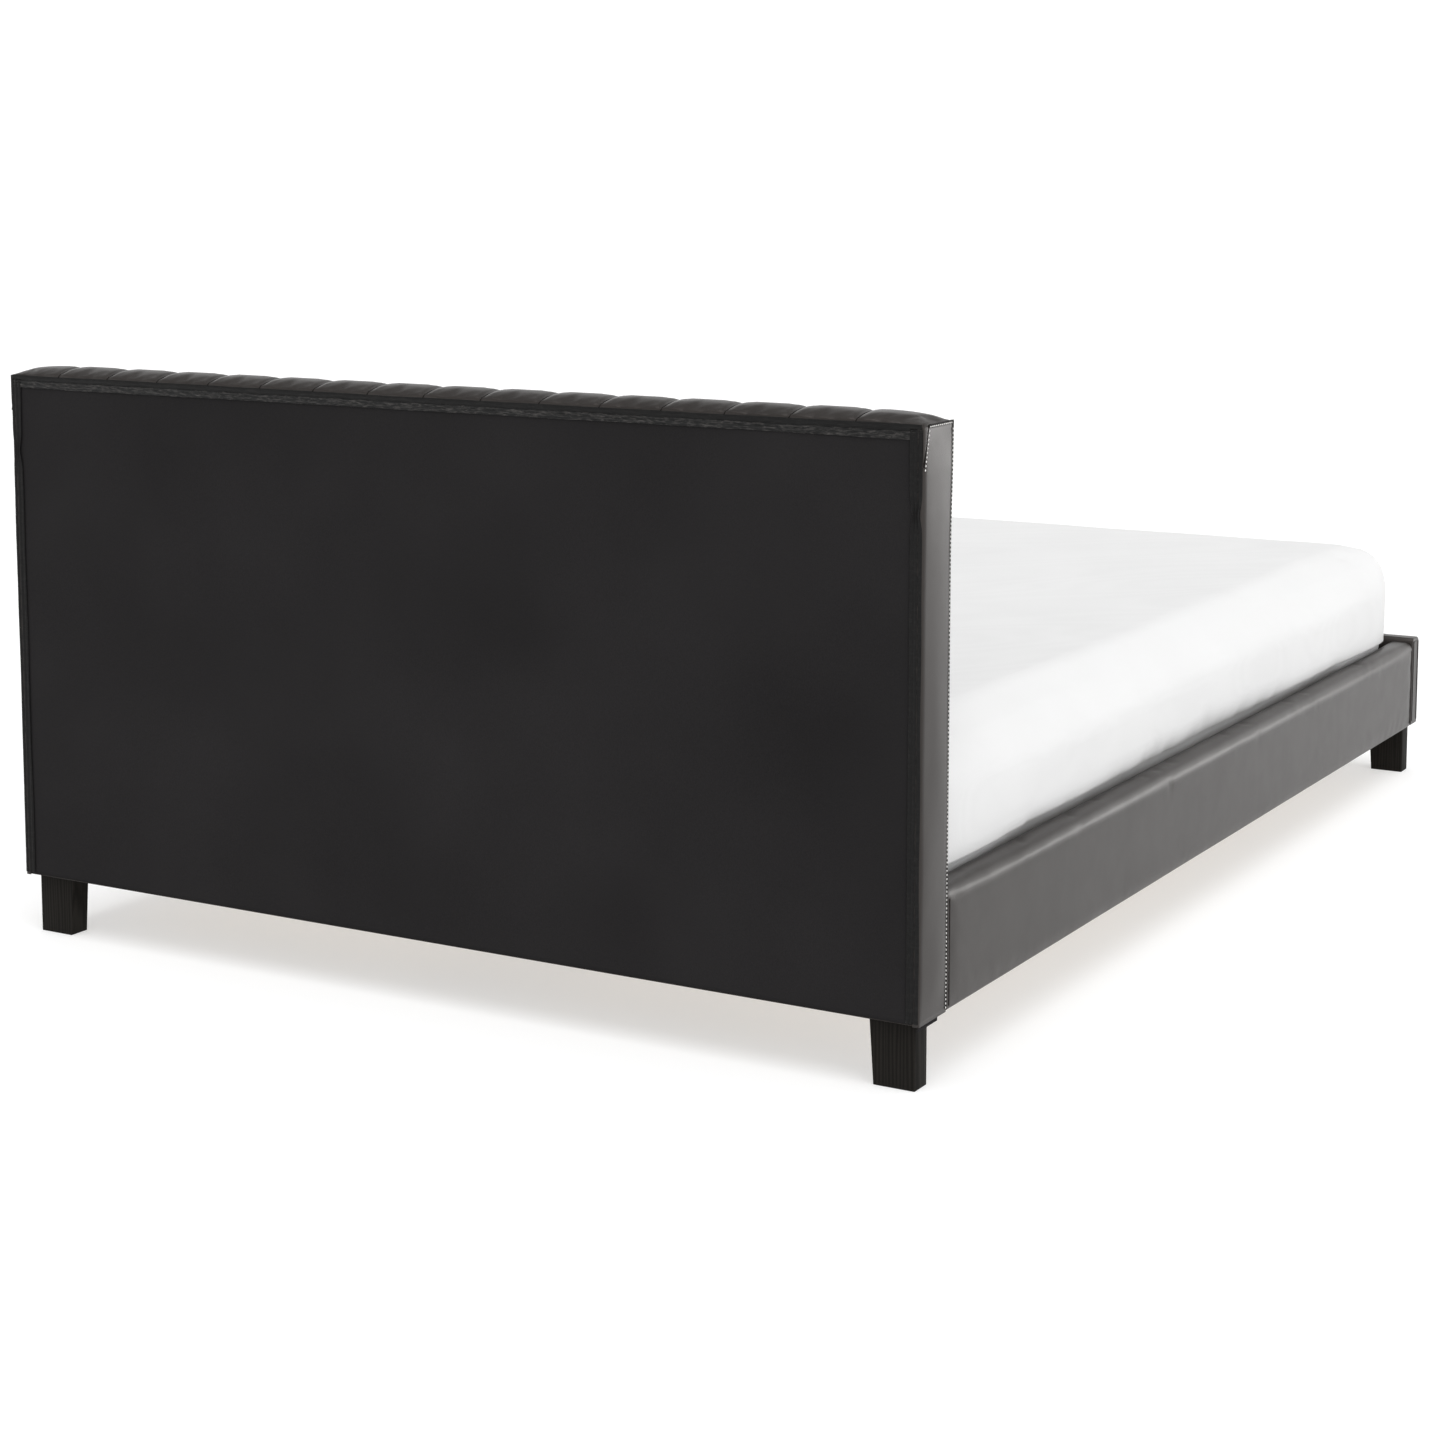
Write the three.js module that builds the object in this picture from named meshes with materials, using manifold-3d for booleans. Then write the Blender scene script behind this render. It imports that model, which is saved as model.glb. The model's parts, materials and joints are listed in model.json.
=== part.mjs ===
// An upholstered double bed for a 1400 x 2000 mm mattress: a straight padded headboard, a low footboard,
// two padded side rails, four flat tapered legs, a centre beam on two levelling feet, a roll-out slatted
// base, and a mattress in a fitted sheet. Millimetres, +Z up, the headboard at +Y, the floor at Z = 0.
import * as THREE from "three";
import { mergeVertices } from "three/addons/utils/BufferGeometryUtils.js";
import Module from "manifold-3d";

const wasm = await Module();
wasm.setup();

// Driving dimensions
const bedWidth = 1500;
const bedLength = 2160;
const baseHeight = 90; // underside of the upholstered panels
const gap = 0.3; // between pieces that touch
const leather = 2; // cover thickness

const headboardDepth = 78;
const headboardHeight = 843; // back top edge
const crownRise = 10; // the padded top is this much higher than its back edge
const crownSetback = 46; // from the back face to the highest line of the top
const frontRoll = 38; // height over which the top rolls down into the front face
const frameDepth = 43; // headboard timbers, front to back
const frameSetback = 3; // behind them lie the dust cloth and its tape
const frontBoard = 4;
const frameTop = 822;

const footboardDepth = 40;
const footboardTop = 257;
const footCore = 24;
const coreLift = 3; // timbers stand this far above the round lower edge of a padded cover

const railDepth = 48;
const railTop = 250;
const railBoard = 26;
const railBoardTop = 232;
const railHeadGap = 1.5; // rail end to headboard
const railFootGap = 2.5; // rail end to footboard

const legInset = { side: 13, head: 17, foot: 12 };
const legTop = 65; // leg width along X under the panel
const legBottom = 59;
const legDepth = 34;
const stud = { radius: 4, inLeg: 40, inPanel: 60 };

const ledge = { size: 28, top: 178, endGap: 22 };
const beam = { width: 40, height: 50, wall: 2 };
const centreLeg = { radius: 19, bore: 5.5, boreDepth: 75, spread: 340, bottom: 30 };
const levellingFoot = { pad: 25, padHeight: 8, stem: 5, stemTop: 70 };

const slats = { count: 12, width: 95, thickness: 18, pitch: 172, first: 930 };
const tape = { width: 25, thickness: 1.2, offset: 350 };

const mattress = { length: 2000, top: 421, corner: 75, edge: 48, sheet: 1.5, hem: 90, headGap: 30 };

// Planes that the driving dimensions give
const sideFace = bedWidth / 2;
const headBack = bedLength / 2;
const headFront = headBack - headboardDepth;
const footFront = -bedLength / 2;
const footInner = footFront + footboardDepth;
const railInner = sideFace - railDepth;
const railSpan = [footInner + railFootGap, headFront - railHeadGap];
const slatBottom = ledge.top + gap;
const slatTop = slatBottom + slats.thickness;
const skin = leather + gap; // from an outer face to the padding behind the cover

// Materials
const finish = (color, roughness, metalness = 0) =>
  new THREE.MeshStandardMaterial({ color, roughness, metalness });
const leatherFinish = finish(0x3b3836, 0.42);
const clothFinish = finish(0x201f20, 0.95);
const tapeFinish = finish(0x2b2b2c, 0.7);
const legFinish = finish(0x1f1d1b, 0.5);
const timberFinish = finish(0xc8a472, 0.75);
const boardFinish = finish(0x8a6a45, 0.85);
const foamFinish = finish(0xe9e2cf, 0.95);
const steelFinish = finish(0x1e1f21, 0.45, 0.6);
const zincFinish = finish(0xb9bcc0, 0.35, 1);
const plasticFinish = finish(0x161616, 0.6);
const slatFinish = finish(0xdab989, 0.65);
const webbingFinish = finish(0x3a3a3c, 0.9);
const tickingFinish = finish(0xeeeeea, 0.9);
const sheetFinish = finish(0xf5f5f4, 0.85);

// Solids: three.js makes the shapes, and manifold-3d joins and cuts them.
function solidOf(geometry) {
  const bare = geometry.clone();
  bare.deleteAttribute("normal");
  bare.deleteAttribute("uv");
  const merged = mergeVertices(bare, 1e-3);
  return new wasm.Manifold(
    new wasm.Mesh({
      numProp: 3,
      vertProperties: merged.attributes.position.array,
      triVerts: new Uint32Array(merged.index.array),
    }),
  );
}

function geometryOf(solid) {
  const mesh = solid.getMesh();
  const geometry = new THREE.BufferGeometry();
  geometry.setAttribute("position", new THREE.BufferAttribute(mesh.vertProperties, 3));
  geometry.setIndex(new THREE.BufferAttribute(mesh.triVerts, 1));
  return geometry;
}

const cut = (body, ...tools) =>
  geometryOf(tools.reduce((left, tool) => left.subtract(solidOf(tool)), solidOf(body)));
const join = (...bodies) =>
  geometryOf(bodies.slice(1).reduce((all, body) => all.add(solidOf(body)), solidOf(bodies[0])));

// A box between two planes along each axis
function block([x0, x1], [y0, y1], [z0, z1]) {
  const box = new THREE.BoxGeometry(x1 - x0, y1 - y0, z1 - z0);
  return box.translate((x0 + x1) / 2, (y0 + y1) / 2, (z0 + z1) / 2);
}

// A round bar along Z, or along Y
function uprightRod(radius, x, y, [z0, z1], sides = 16) {
  const rod = new THREE.CylinderGeometry(radius, radius, z1 - z0, sides);
  return rod.rotateX(Math.PI / 2).translate(x, y, (z0 + z1) / 2);
}

function levelRod(radius, x, z, [y0, y1], sides = 16) {
  const rod = new THREE.CylinderGeometry(radius, radius, y1 - y0, sides);
  return rod.translate(x, (y0 + y1) / 2, z);
}

// A shape drawn in (y, z), extruded along X
function prismAlongX(shape, [x0, x1], curveSegments = 6) {
  const prism = new THREE.ExtrudeGeometry(shape, {
    depth: x1 - x0,
    bevelEnabled: false,
    curveSegments,
  });
  const axes = new THREE.Matrix4().makeBasis(
    new THREE.Vector3(0, 1, 0),
    new THREE.Vector3(0, 0, 1),
    new THREE.Vector3(1, 0, 0),
  );
  return prism.applyMatrix4(axes).translate(x0, 0, 0);
}

// A shape drawn in (x, z), extruded along Y
function prismAlongY(shape, [y0, y1], curveSegments = 6) {
  const prism = new THREE.ExtrudeGeometry(shape, {
    depth: y1 - y0,
    bevelEnabled: false,
    curveSegments,
  });
  return prism.rotateX(Math.PI / 2).translate(0, y1, 0);
}

// A rectangle whose two upper and two lower corners are rounded
function roundedSection([a0, a1], [z0, z1], upper, lower) {
  const shape = new THREE.Shape();
  shape.moveTo(a0 + lower, z0);
  shape.lineTo(a1 - lower, z0);
  shape.absarc(a1 - lower, z0 + lower, lower, -Math.PI / 2, 0, false);
  shape.lineTo(a1, z1 - upper);
  shape.absarc(a1 - upper, z1 - upper, upper, 0, Math.PI / 2, false);
  shape.lineTo(a0 + upper, z1);
  shape.absarc(a0 + upper, z1 - upper, upper, Math.PI / 2, Math.PI, false);
  shape.lineTo(a0, z0 + lower);
  shape.absarc(a0 + lower, z0 + lower, lower, Math.PI, 1.5 * Math.PI, false);
  return shape;
}

// A rounded cushion shape: straight sides in plan, round corners, and round top and bottom edges
function cushion([x0, x1], [y0, y1], [z0, z1], corner, edge) {
  const inner = roundedSection(
    [x0 + edge, x1 - edge],
    [y0 + edge, y1 - edge],
    corner - edge,
    corner - edge,
  );
  const body = new THREE.ExtrudeGeometry(inner, {
    depth: z1 - z0 - 2 * edge,
    bevelThickness: edge,
    bevelSize: edge,
    bevelSegments: 4,
    curveSegments: 5,
  });
  return body.translate(0, 0, z0 + edge);
}

const bed = new THREE.Group();
function piece(parent, name, geometry, material) {
  const mesh = new THREE.Mesh(geometry, material);
  mesh.name = name;
  parent.add(mesh);
  return mesh;
}

const sides = [
  { name: "left", sign: -1 },
  { name: "right", sign: 1 },
];
// Orders a pair of X planes for one side of the bed
const across = (sign, a, b) => (sign > 0 ? [a, b] : [-b, -a]);

// The bolt that holds each corner bracket to a panel, and the threaded stud of each leg
const cornerBolt = { x: 660, z: 122, radius: 4, head: 8, headHeight: 5.5 };
const bracket = { arm: 60, plate: 3, bottom: 100, height: 44 };
const legCentre = {
  x: sideFace - legInset.side - legTop / 2,
  head: headBack - legInset.head - legDepth / 2,
  foot: footFront + legInset.foot + legDepth / 2,
};
const studHoles = (y) =>
  sides.map(({ sign }) =>
    uprightRod(stud.radius + gap, sign * legCentre.x, y, [baseHeight - 50, baseHeight + stud.inPanel + 1]),
  );
const cornerHoles = (span) =>
  sides.map(({ sign }) => levelRod(cornerBolt.radius + gap, sign * cornerBolt.x, cornerBolt.z, span));

// The headboard's side view, drawn in (y, z) and shrunk by an inset
function headboardProfile(inset) {
  const crownY = headBack - crownSetback;
  const rollBottom = headboardHeight + crownRise - frontRoll;
  const shape = new THREE.Shape();
  shape.moveTo(headBack - inset, baseHeight + inset);
  shape.lineTo(headBack - inset, headboardHeight - inset);
  shape.absellipse(
    crownY, headboardHeight - inset, crownSetback - inset, crownRise, 0, Math.PI / 2, false,
  );
  shape.absellipse(
    crownY, rollBottom - inset, crownY - headFront - inset, frontRoll, Math.PI / 2, Math.PI, false,
  );
  shape.lineTo(headFront + inset, baseHeight + inset);
  return shape;
}

function headboard() {
  const group = new THREE.Group();
  const inside = sideFace - leather;
  const padWidth = sideFace - skin;
  const frameBack = headBack - frameSetback;
  const frameFront = frameBack - frameDepth;
  const boardFront = frameFront - gap - frontBoard;
  const bottom = baseHeight + skin;
  const boltSpan = [headFront - 1, frameBack - 10];

  const shell = cut(
    prismAlongX(headboardProfile(0), [-sideFace, sideFace]),
    prismAlongX(headboardProfile(leather), [-inside, inside]),
    block([-inside, inside], [headBack - leather - 1, headBack + 1], [baseHeight + leather, headboardHeight - leather]),
    ...cornerHoles(boltSpan),
    ...studHoles(legCentre.head),
  );
  piece(group, "headboard_cover", shell, leatherFinish);

  const foam = cut(
    prismAlongX(headboardProfile(skin), [-padWidth, padWidth]),
    block([-sideFace, sideFace], [boardFront - gap, headBack], [0, frameTop + gap]),
    block([-sideFace, sideFace], [frameBack, headBack], [0, headboardHeight + crownRise]),
    ...cornerHoles(boltSpan),
  );
  piece(group, "headboard_foam", foam, foamFinish);

  const board = cut(
    block([-padWidth, padWidth], [boardFront, boardFront + frontBoard], [bottom, frameTop]),
    ...cornerHoles(boltSpan),
  );
  piece(group, "headboard_front_board", board, boardFinish);

  const depth = [frameFront, frameBack];
  const postWidth = 70;
  const postInner = padWidth - postWidth;
  for (const { name, sign } of sides) {
    const post = block(across(sign, postInner, padWidth), depth, [bottom, frameTop]);
    piece(group, `headboard_${name}_post`, cut(post, ...studHoles(legCentre.head)), timberFinish);
  }
  const crossRail = (z0, height) =>
    block([-postInner + gap, postInner - gap], depth, [z0, z0 + height]);
  piece(group, "headboard_bottom_rail", cut(crossRail(bottom, 90), ...cornerHoles(boltSpan)), timberFinish);
  piece(group, "headboard_middle_rail", crossRail(440, 70), timberFinish);
  piece(group, "headboard_top_rail", crossRail(frameTop - 70, 70), timberFinish);

  const cloth = 1.2;
  const band = 24;
  const clothTop = headboardHeight - skin;
  piece(
    group,
    "headboard_back_cloth",
    block([-padWidth, padWidth], [headBack - 2 * cloth - gap, headBack - cloth - gap], [bottom, clothTop]),
    clothFinish,
  );
  const tapeFrame = cut(
    block([-padWidth, padWidth], [headBack - cloth, headBack], [bottom, clothTop]),
    block([-padWidth + band, padWidth - band], [headBack - 2 * cloth, headBack + 1], [0, clothTop - 18]),
  );
  piece(group, "headboard_back_tape", tapeFrame, tapeFinish);
  return group;
}

function footboard() {
  const group = new THREE.Group();
  const inside = sideFace - leather;
  const padWidth = sideFace - skin;
  const coreFace = footInner - skin - footCore;
  const bottom = baseHeight + skin + coreLift;
  const coreTop = footboardTop - 14;
  const section = (inset) =>
    roundedSection([footFront + inset, footInner - inset], [baseHeight + inset, footboardTop - inset], 9 - inset, 4 - inset);
  const boltSpan = [coreFace + 4, footInner + 1];
  // The cover is closed with staples underneath, where a slot between its two edges stays open.
  const stapledSlot = block([-inside + 30, inside - 30], [footFront + 12, footInner - 12], [baseHeight - 1, baseHeight + leather + 1]);

  const shell = cut(
    prismAlongX(section(0), [-sideFace, sideFace]),
    prismAlongX(section(leather), [-inside, inside]),
    stapledSlot,
    ...cornerHoles(boltSpan),
    ...studHoles(legCentre.foot),
  );
  piece(group, "footboard_cover", shell, leatherFinish);

  const foam = cut(
    prismAlongX(section(skin), [-padWidth, padWidth]),
    block([-sideFace, sideFace], [coreFace - gap, footInner], [0, coreTop + gap]),
  );
  piece(group, "footboard_foam", foam, foamFinish);

  const core = cut(
    block([-padWidth, padWidth], [coreFace, coreFace + footCore], [bottom, coreTop]),
    ...cornerHoles(boltSpan),
    ...studHoles(legCentre.foot),
  );
  piece(group, "footboard_core", core, timberFinish);
  return group;
}

function sideRail({ name, sign }) {
  const group = new THREE.Group();
  const [back, front] = railSpan;
  const section = (inset) =>
    roundedSection(
      across(sign, railInner + inset, sideFace - inset),
      [baseHeight + inset, railTop - inset],
      15 - inset,
      5 - inset,
    );
  const boardEdge = railInner + skin + railBoard;

  const shell = cut(
    prismAlongY(section(0), railSpan),
    prismAlongY(section(leather), [back + leather, front - leather]),
    block(across(sign, railInner + 10, sideFace - 10), [back + 30, front - 30], [baseHeight - 1, baseHeight + leather + 1]),
  );
  piece(group, `${name}_rail_cover`, shell, leatherFinish);

  const padSpan = [back + skin, front - skin];
  const foam = cut(
    prismAlongY(section(skin), padSpan),
    block(across(sign, 0, boardEdge + gap), [back, front], [0, railBoardTop + gap]),
  );
  piece(group, `${name}_rail_foam`, foam, foamFinish);

  const boardHeight = [baseHeight + skin + coreLift, railBoardTop];
  const board = block(across(sign, railInner + skin, boardEdge), padSpan, boardHeight);
  piece(group, `${name}_rail_board`, board, timberFinish);

  const shelf = railInner - gap;
  const ledgeSpan = [footInner + ledge.endGap, headFront - ledge.endGap];
  const batten = block(across(sign, shelf - ledge.size, shelf), ledgeSpan, [ledge.top - ledge.size, ledge.top]);
  piece(group, `${name}_slat_ledge`, batten, timberFinish);
  return group;
}

// A flat tapered leg: straight on its outer faces, leaning in on the face towards the bed's middle
function leg(name, { sign }, yCentre) {
  const outer = sign * (sideFace - legInset.side);
  const shape = new THREE.Shape();
  shape.moveTo(outer, 0);
  shape.lineTo(outer, baseHeight - gap);
  shape.lineTo(outer - sign * legTop, baseHeight - gap);
  shape.lineTo(outer - sign * legBottom, 0);
  const span = [yCentre - legDepth / 2, yCentre + legDepth / 2];
  const body = cut(prismAlongY(shape, span), ...studHoles(yCentre));
  piece(bed, `${name}_leg`, body, legFinish);

  const threads = uprightRod(stud.radius, sign * legCentre.x, yCentre, [
    baseHeight - stud.inLeg,
    baseHeight + stud.inPanel,
  ], 12);
  piece(bed, `${name}_leg_stud`, threads, zincFinish);
}

// An angle bracket in each inner corner, with the bolt that draws the rail up to the panel.
// end is +1 at the headboard and -1 at the footboard.
function cornerJoint(name, { sign }, end, panelFace) {
  const face = panelFace - end * gap;
  const reach = face - end * bracket.arm;
  const height = [bracket.bottom, bracket.bottom + bracket.height];
  const order = (a, b) => (a < b ? [a, b] : [b, a]);
  const wall = railInner - gap;
  const angle = join(
    block(across(sign, wall - bracket.plate, wall), order(face, reach), height),
    block(across(sign, wall - bracket.arm, wall), order(face, face - end * bracket.plate), height),
  );
  const holed = cut(angle, levelRod(cornerBolt.radius + gap, sign * cornerBolt.x, cornerBolt.z, order(face + 5, face - 5)));
  piece(bed, `${name}_corner_bracket`, holed, steelFinish);

  const seat = face - end * (bracket.plate + gap);
  const shank = end > 0 ? 62 : 24;
  const bolt = join(
    levelRod(cornerBolt.head, sign * cornerBolt.x, cornerBolt.z, order(seat, seat - end * cornerBolt.headHeight)),
    levelRod(cornerBolt.radius, sign * cornerBolt.x, cornerBolt.z, order(seat - end, seat + end * shank), 12),
  );
  piece(bed, `${name}_corner_bolt`, bolt, zincFinish);
}

function centreSupport() {
  const top = ledge.top;
  const bottom = top - beam.height;
  const plate = 3;
  const reach = gap + plate + 0.5;
  const half = beam.width / 2;
  const span = [footInner + reach, headFront - reach];
  const tube = cut(
    block([-half, half], span, [bottom, top]),
    block([-half + beam.wall, half - beam.wall], [span[0] - 1, span[1] + 1], [bottom + beam.wall, top - beam.wall]),
  );
  piece(bed, "centre_beam", tube, steelFinish);

  // A stirrup on each panel: a back plate with a pocket that the end of the beam drops into
  const stirrup = (name, face, end) => {
    const order = (a, b) => (a < b ? [a, b] : [b, a]);
    const wall = face - end * gap;
    const cheek = half + 0.5;
    const pocket = order(wall, wall - end * 40);
    const rise = [bottom - gap - plate, bottom + 30];
    const body = join(
      block([-half - 25, half + 25], order(wall, wall - end * plate), rise),
      block([-cheek - plate, -cheek], pocket, rise),
      block([cheek, cheek + plate], pocket, rise),
      block([-cheek - plate, cheek + plate], pocket, [bottom - gap - plate, bottom - gap]),
    );
    piece(bed, name, body, steelFinish);
  };
  stirrup("head_beam_stirrup", headFront, 1);
  stirrup("foot_beam_stirrup", footInner, -1);

  for (const [name, y] of [["head", centreLeg.spread], ["foot", -centreLeg.spread]]) {
    const { radius, bore, boreDepth } = centreLeg;
    const foot = centreLeg.bottom;
    const post = new THREE.LatheGeometry(
      [
        new THREE.Vector2(0, foot + boreDepth),
        new THREE.Vector2(bore, foot + boreDepth),
        new THREE.Vector2(bore, foot),
        new THREE.Vector2(radius, foot),
        new THREE.Vector2(radius, bottom - gap - plate),
        new THREE.Vector2(radius + 9, bottom - gap - plate),
        new THREE.Vector2(radius + 9, bottom - gap),
        new THREE.Vector2(0, bottom - gap),
      ],
      20,
    );
    piece(bed, `${name}_centre_leg`, post.rotateX(Math.PI / 2).translate(0, y, 0), plasticFinish);

    const { pad, padHeight, stem, stemTop } = levellingFoot;
    const screw = new THREE.LatheGeometry(
      [
        new THREE.Vector2(0, 0),
        new THREE.Vector2(pad - 2, 0),
        new THREE.Vector2(pad, 2),
        new THREE.Vector2(pad - 4, padHeight),
        new THREE.Vector2(stem, padHeight),
        new THREE.Vector2(stem, stemTop),
        new THREE.Vector2(0, stemTop),
      ],
      20,
    );
    piece(bed, `${name}_levelling_foot`, screw.rotateX(Math.PI / 2).translate(0, y, 0), plasticFinish);
  }
}

// Twelve pine slats on two webbing tapes, laid across the ledges and the centre beam
function slattedBase() {
  const group = new THREE.Group();
  const half = railInner - 4;
  for (let i = 0; i < slats.count; i += 1) {
    const y = slats.first - i * slats.pitch;
    const section = roundedSection([y - slats.width / 2, y + slats.width / 2], [slatBottom, slatTop], 3, 3);
    piece(group, `slat_${String(i + 1).padStart(2, "0")}`, prismAlongX(section, [-half, half], 2), slatFinish);
  }
  const lastSlat = slats.first - (slats.count - 1) * slats.pitch;
  const span = [lastSlat - slats.width / 2, slats.first + slats.width / 2];
  for (const { name, sign } of sides) {
    const x = across(sign, tape.offset - tape.width / 2, tape.offset + tape.width / 2);
    const strip = block(x, span, [slatBottom - gap - tape.thickness, slatBottom - gap]);
    piece(group, `${name}_slat_tape`, strip, webbingFinish);
  }
  return group;
}

// The mattress, and the fitted sheet that wraps it and turns under its edge
function bedding() {
  const group = new THREE.Group();
  const side = railInner - 3;
  const head = headFront - mattress.headGap;
  const foot = head - mattress.length;
  const bottom = slatTop + gap;
  const shape = (inset) =>
    cushion(
      [-side + inset, side - inset],
      [foot + inset, head - inset],
      [bottom + inset, mattress.top - inset],
      mattress.corner - inset,
      mattress.edge - inset,
    );
  const { sheet, hem } = mattress;
  const opening = block([-side + hem, side - hem], [foot + hem, head - hem], [bottom - 1, bottom + sheet + 1]);
  piece(group, "fitted_sheet", cut(shape(0), shape(sheet), opening), sheetFinish);
  piece(group, "mattress", shape(sheet + gap), tickingFinish);
  return group;
}

bed.add(headboard(), footboard(), slattedBase(), bedding());
sides.forEach((side) => {
  bed.add(sideRail(side));
  leg(`head_${side.name}`, side, legCentre.head);
  leg(`foot_${side.name}`, side, legCentre.foot);
  cornerJoint(`head_${side.name}`, side, 1, headFront);
  cornerJoint(`foot_${side.name}`, side, -1, footInner);
});
centreSupport();

export default bed;
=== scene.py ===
# %% [markdown]
# # An upholstered double bed
# The bed has a padded headboard, two padded side rails, a low padded footboard, four flat legs, a slatted
# base on a centre beam, and a mattress in a fitted sheet. The solid model of it is already finished, and it
# is loaded here as a fixed frame. These cells dress that frame: they sew the covers, fold the edging and
# give every surface its finish. All lengths are in metres.

# %% Load the frame
import json
import math

import bmesh
import bpy
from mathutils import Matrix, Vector, noise


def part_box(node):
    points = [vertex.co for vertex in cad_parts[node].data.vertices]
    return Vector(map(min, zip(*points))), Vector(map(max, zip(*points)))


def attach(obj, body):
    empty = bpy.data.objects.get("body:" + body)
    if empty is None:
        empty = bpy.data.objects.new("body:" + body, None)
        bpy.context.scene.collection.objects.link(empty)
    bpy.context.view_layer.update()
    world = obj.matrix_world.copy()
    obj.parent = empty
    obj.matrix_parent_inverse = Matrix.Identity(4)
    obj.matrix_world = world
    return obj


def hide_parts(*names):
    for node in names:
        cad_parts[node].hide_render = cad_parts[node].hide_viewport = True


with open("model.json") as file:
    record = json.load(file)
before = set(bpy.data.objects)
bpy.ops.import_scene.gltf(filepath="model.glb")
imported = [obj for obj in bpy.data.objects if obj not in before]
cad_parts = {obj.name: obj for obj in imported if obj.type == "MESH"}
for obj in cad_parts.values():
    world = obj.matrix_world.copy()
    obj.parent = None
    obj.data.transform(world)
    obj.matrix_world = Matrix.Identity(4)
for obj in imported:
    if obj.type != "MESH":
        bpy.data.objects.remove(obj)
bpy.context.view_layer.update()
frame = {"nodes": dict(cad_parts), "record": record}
MM = 0.001
HEAD_LOW, HEAD_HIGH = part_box("headboard_cover")
FOOT_LOW, FOOT_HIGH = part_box("footboard_cover")

# %% [markdown]
# ## Camera
# The bed is seen from behind its headboard, a little above its top edge. A long lens keeps the far end
# from shrinking too much. The lens is shifted downwards, so that the camera can stay nearly level and the
# headboard's upright edges stay upright.

# %% Camera
CAMERA_PLACE = (-2.2416, 4.1545, 1.1901)
CAMERA_HEADING = 209.994
CAMERA_TILT = 7.085
CAMERA_LENS = 70.13
CAMERA_SHIFT = -0.16

bpy.ops.object.select_all(action="DESELECT")
turn = (math.radians(90 - CAMERA_TILT), 0, math.radians(CAMERA_HEADING))
bpy.ops.object.camera_add(location=CAMERA_PLACE, rotation=turn)
camera = bpy.context.object
camera.data.lens = CAMERA_LENS
camera.data.sensor_width = 36
camera.data.shift_y = CAMERA_SHIFT
bpy.context.scene.camera = camera
print("the camera stands at", CAMERA_PLACE)

# %% [markdown]
# ## Studio
# The surround is white near the horizon and greyer overhead, like a room with a lit backdrop. Two wide, soft
# suns, one from above and one from the side, light the sheet and the floor evenly. Leatherette shows what it
# reflects more than its own colour, so two panels of light stand beyond the foot of the bed: the side panel
# of the headboard and the round top edge of the rail pick them up as a broad grey sheen. The panels act on
# gloss only, so they don't brighten the sheet.

# %% Surround
HORIZON_LIGHT = 1.05
OVERHEAD_LIGHT = 0.3
scene = bpy.context.scene
scene.view_settings.view_transform = "Standard"
world = bpy.data.worlds.new("white surround")
world.use_nodes = True
scene.world = world
nodes, links = world.node_tree.nodes, world.node_tree.links
split = nodes.new("ShaderNodeSeparateXYZ")
fade = nodes.new("ShaderNodeMapRange")
fade.interpolation_type = "SMOOTHSTEP"
fade.inputs["From Min"].default_value = 0.3
fade.inputs["From Max"].default_value = 0.76
fade.inputs["To Min"].default_value = HORIZON_LIGHT
fade.inputs["To Max"].default_value = OVERHEAD_LIGHT
links.new(nodes.new("ShaderNodeTexCoord").outputs["Generated"], split.inputs["Vector"])
links.new(split.outputs["Z"], fade.inputs["Value"])
links.new(fade.outputs["Result"], nodes["Background"].inputs["Strength"])
nodes["Background"].inputs["Color"].default_value = (1, 1, 1, 1)

bpy.ops.mesh.primitive_plane_add(size=40, location=(0, 0, -0.3 * MM))
floor = bpy.context.object
floor.name = "studio_floor"
print("the surround goes from", HORIZON_LIGHT, "to", OVERHEAD_LIGHT)


# %% Lights
def aimed_light(name, kind, place, target, energy):
    bpy.ops.object.light_add(type=kind, location=place)
    lamp = bpy.context.object
    lamp.name = name
    lamp.data.energy = energy
    aim = Vector(target) - Vector(place)
    lamp.rotation_euler = aim.to_track_quat("-Z", "Y").to_euler()
    return lamp


soft_sun = aimed_light("soft_sun", "SUN", (-0.6, 1.0, 4.8), (0, 0, 0), 2.05)
soft_sun.data.angle = math.radians(60)
side_sun = aimed_light("side_sun", "SUN", (-4.0, 1.6, 2.2), (0, 0, 0), 0.6)
side_sun.data.angle = math.radians(40)
PANELS = [("low_panel", (-3.0, -3.7, 0.75), 1.6, 32), ("high_panel", (-2.25, -4.2, 1.8), 2.2, 8)]
for name, place, width, power in PANELS:
    panel_light = aimed_light(name, "AREA", place, (-0.75, 0.3, 0.4), power)
    panel_light.data.shape = "RECTANGLE"
    panel_light.data.size = width
    panel_light.data.size_y = 1.2
    panel_light.visible_diffuse = False
    panel_light.visible_camera = False
print("two suns and", len(PANELS), "panels light the bed")


# %% [markdown]
# ## Making finishes
# Each finish is a small network of nodes. Patterns read the object's own coordinates, so one metre of
# pattern is one metre of bed on every piece. These helpers add one node each, so that a finish reads as a
# short list of what the real surface does.

# %% Helpers for finishes
def new_finish(name):
    material = bpy.data.materials.new(name)
    material.use_nodes = True
    tree = material.node_tree
    place = tree.nodes.new("ShaderNodeTexCoord").outputs["Object"]
    return material, tree, tree.nodes["Principled BSDF"], place


def stretched(tree, place, scale):
    node = tree.nodes.new("ShaderNodeMapping")
    node.inputs["Scale"].default_value = scale
    tree.links.new(place, node.inputs["Vector"])
    return node.outputs["Vector"]


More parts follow.
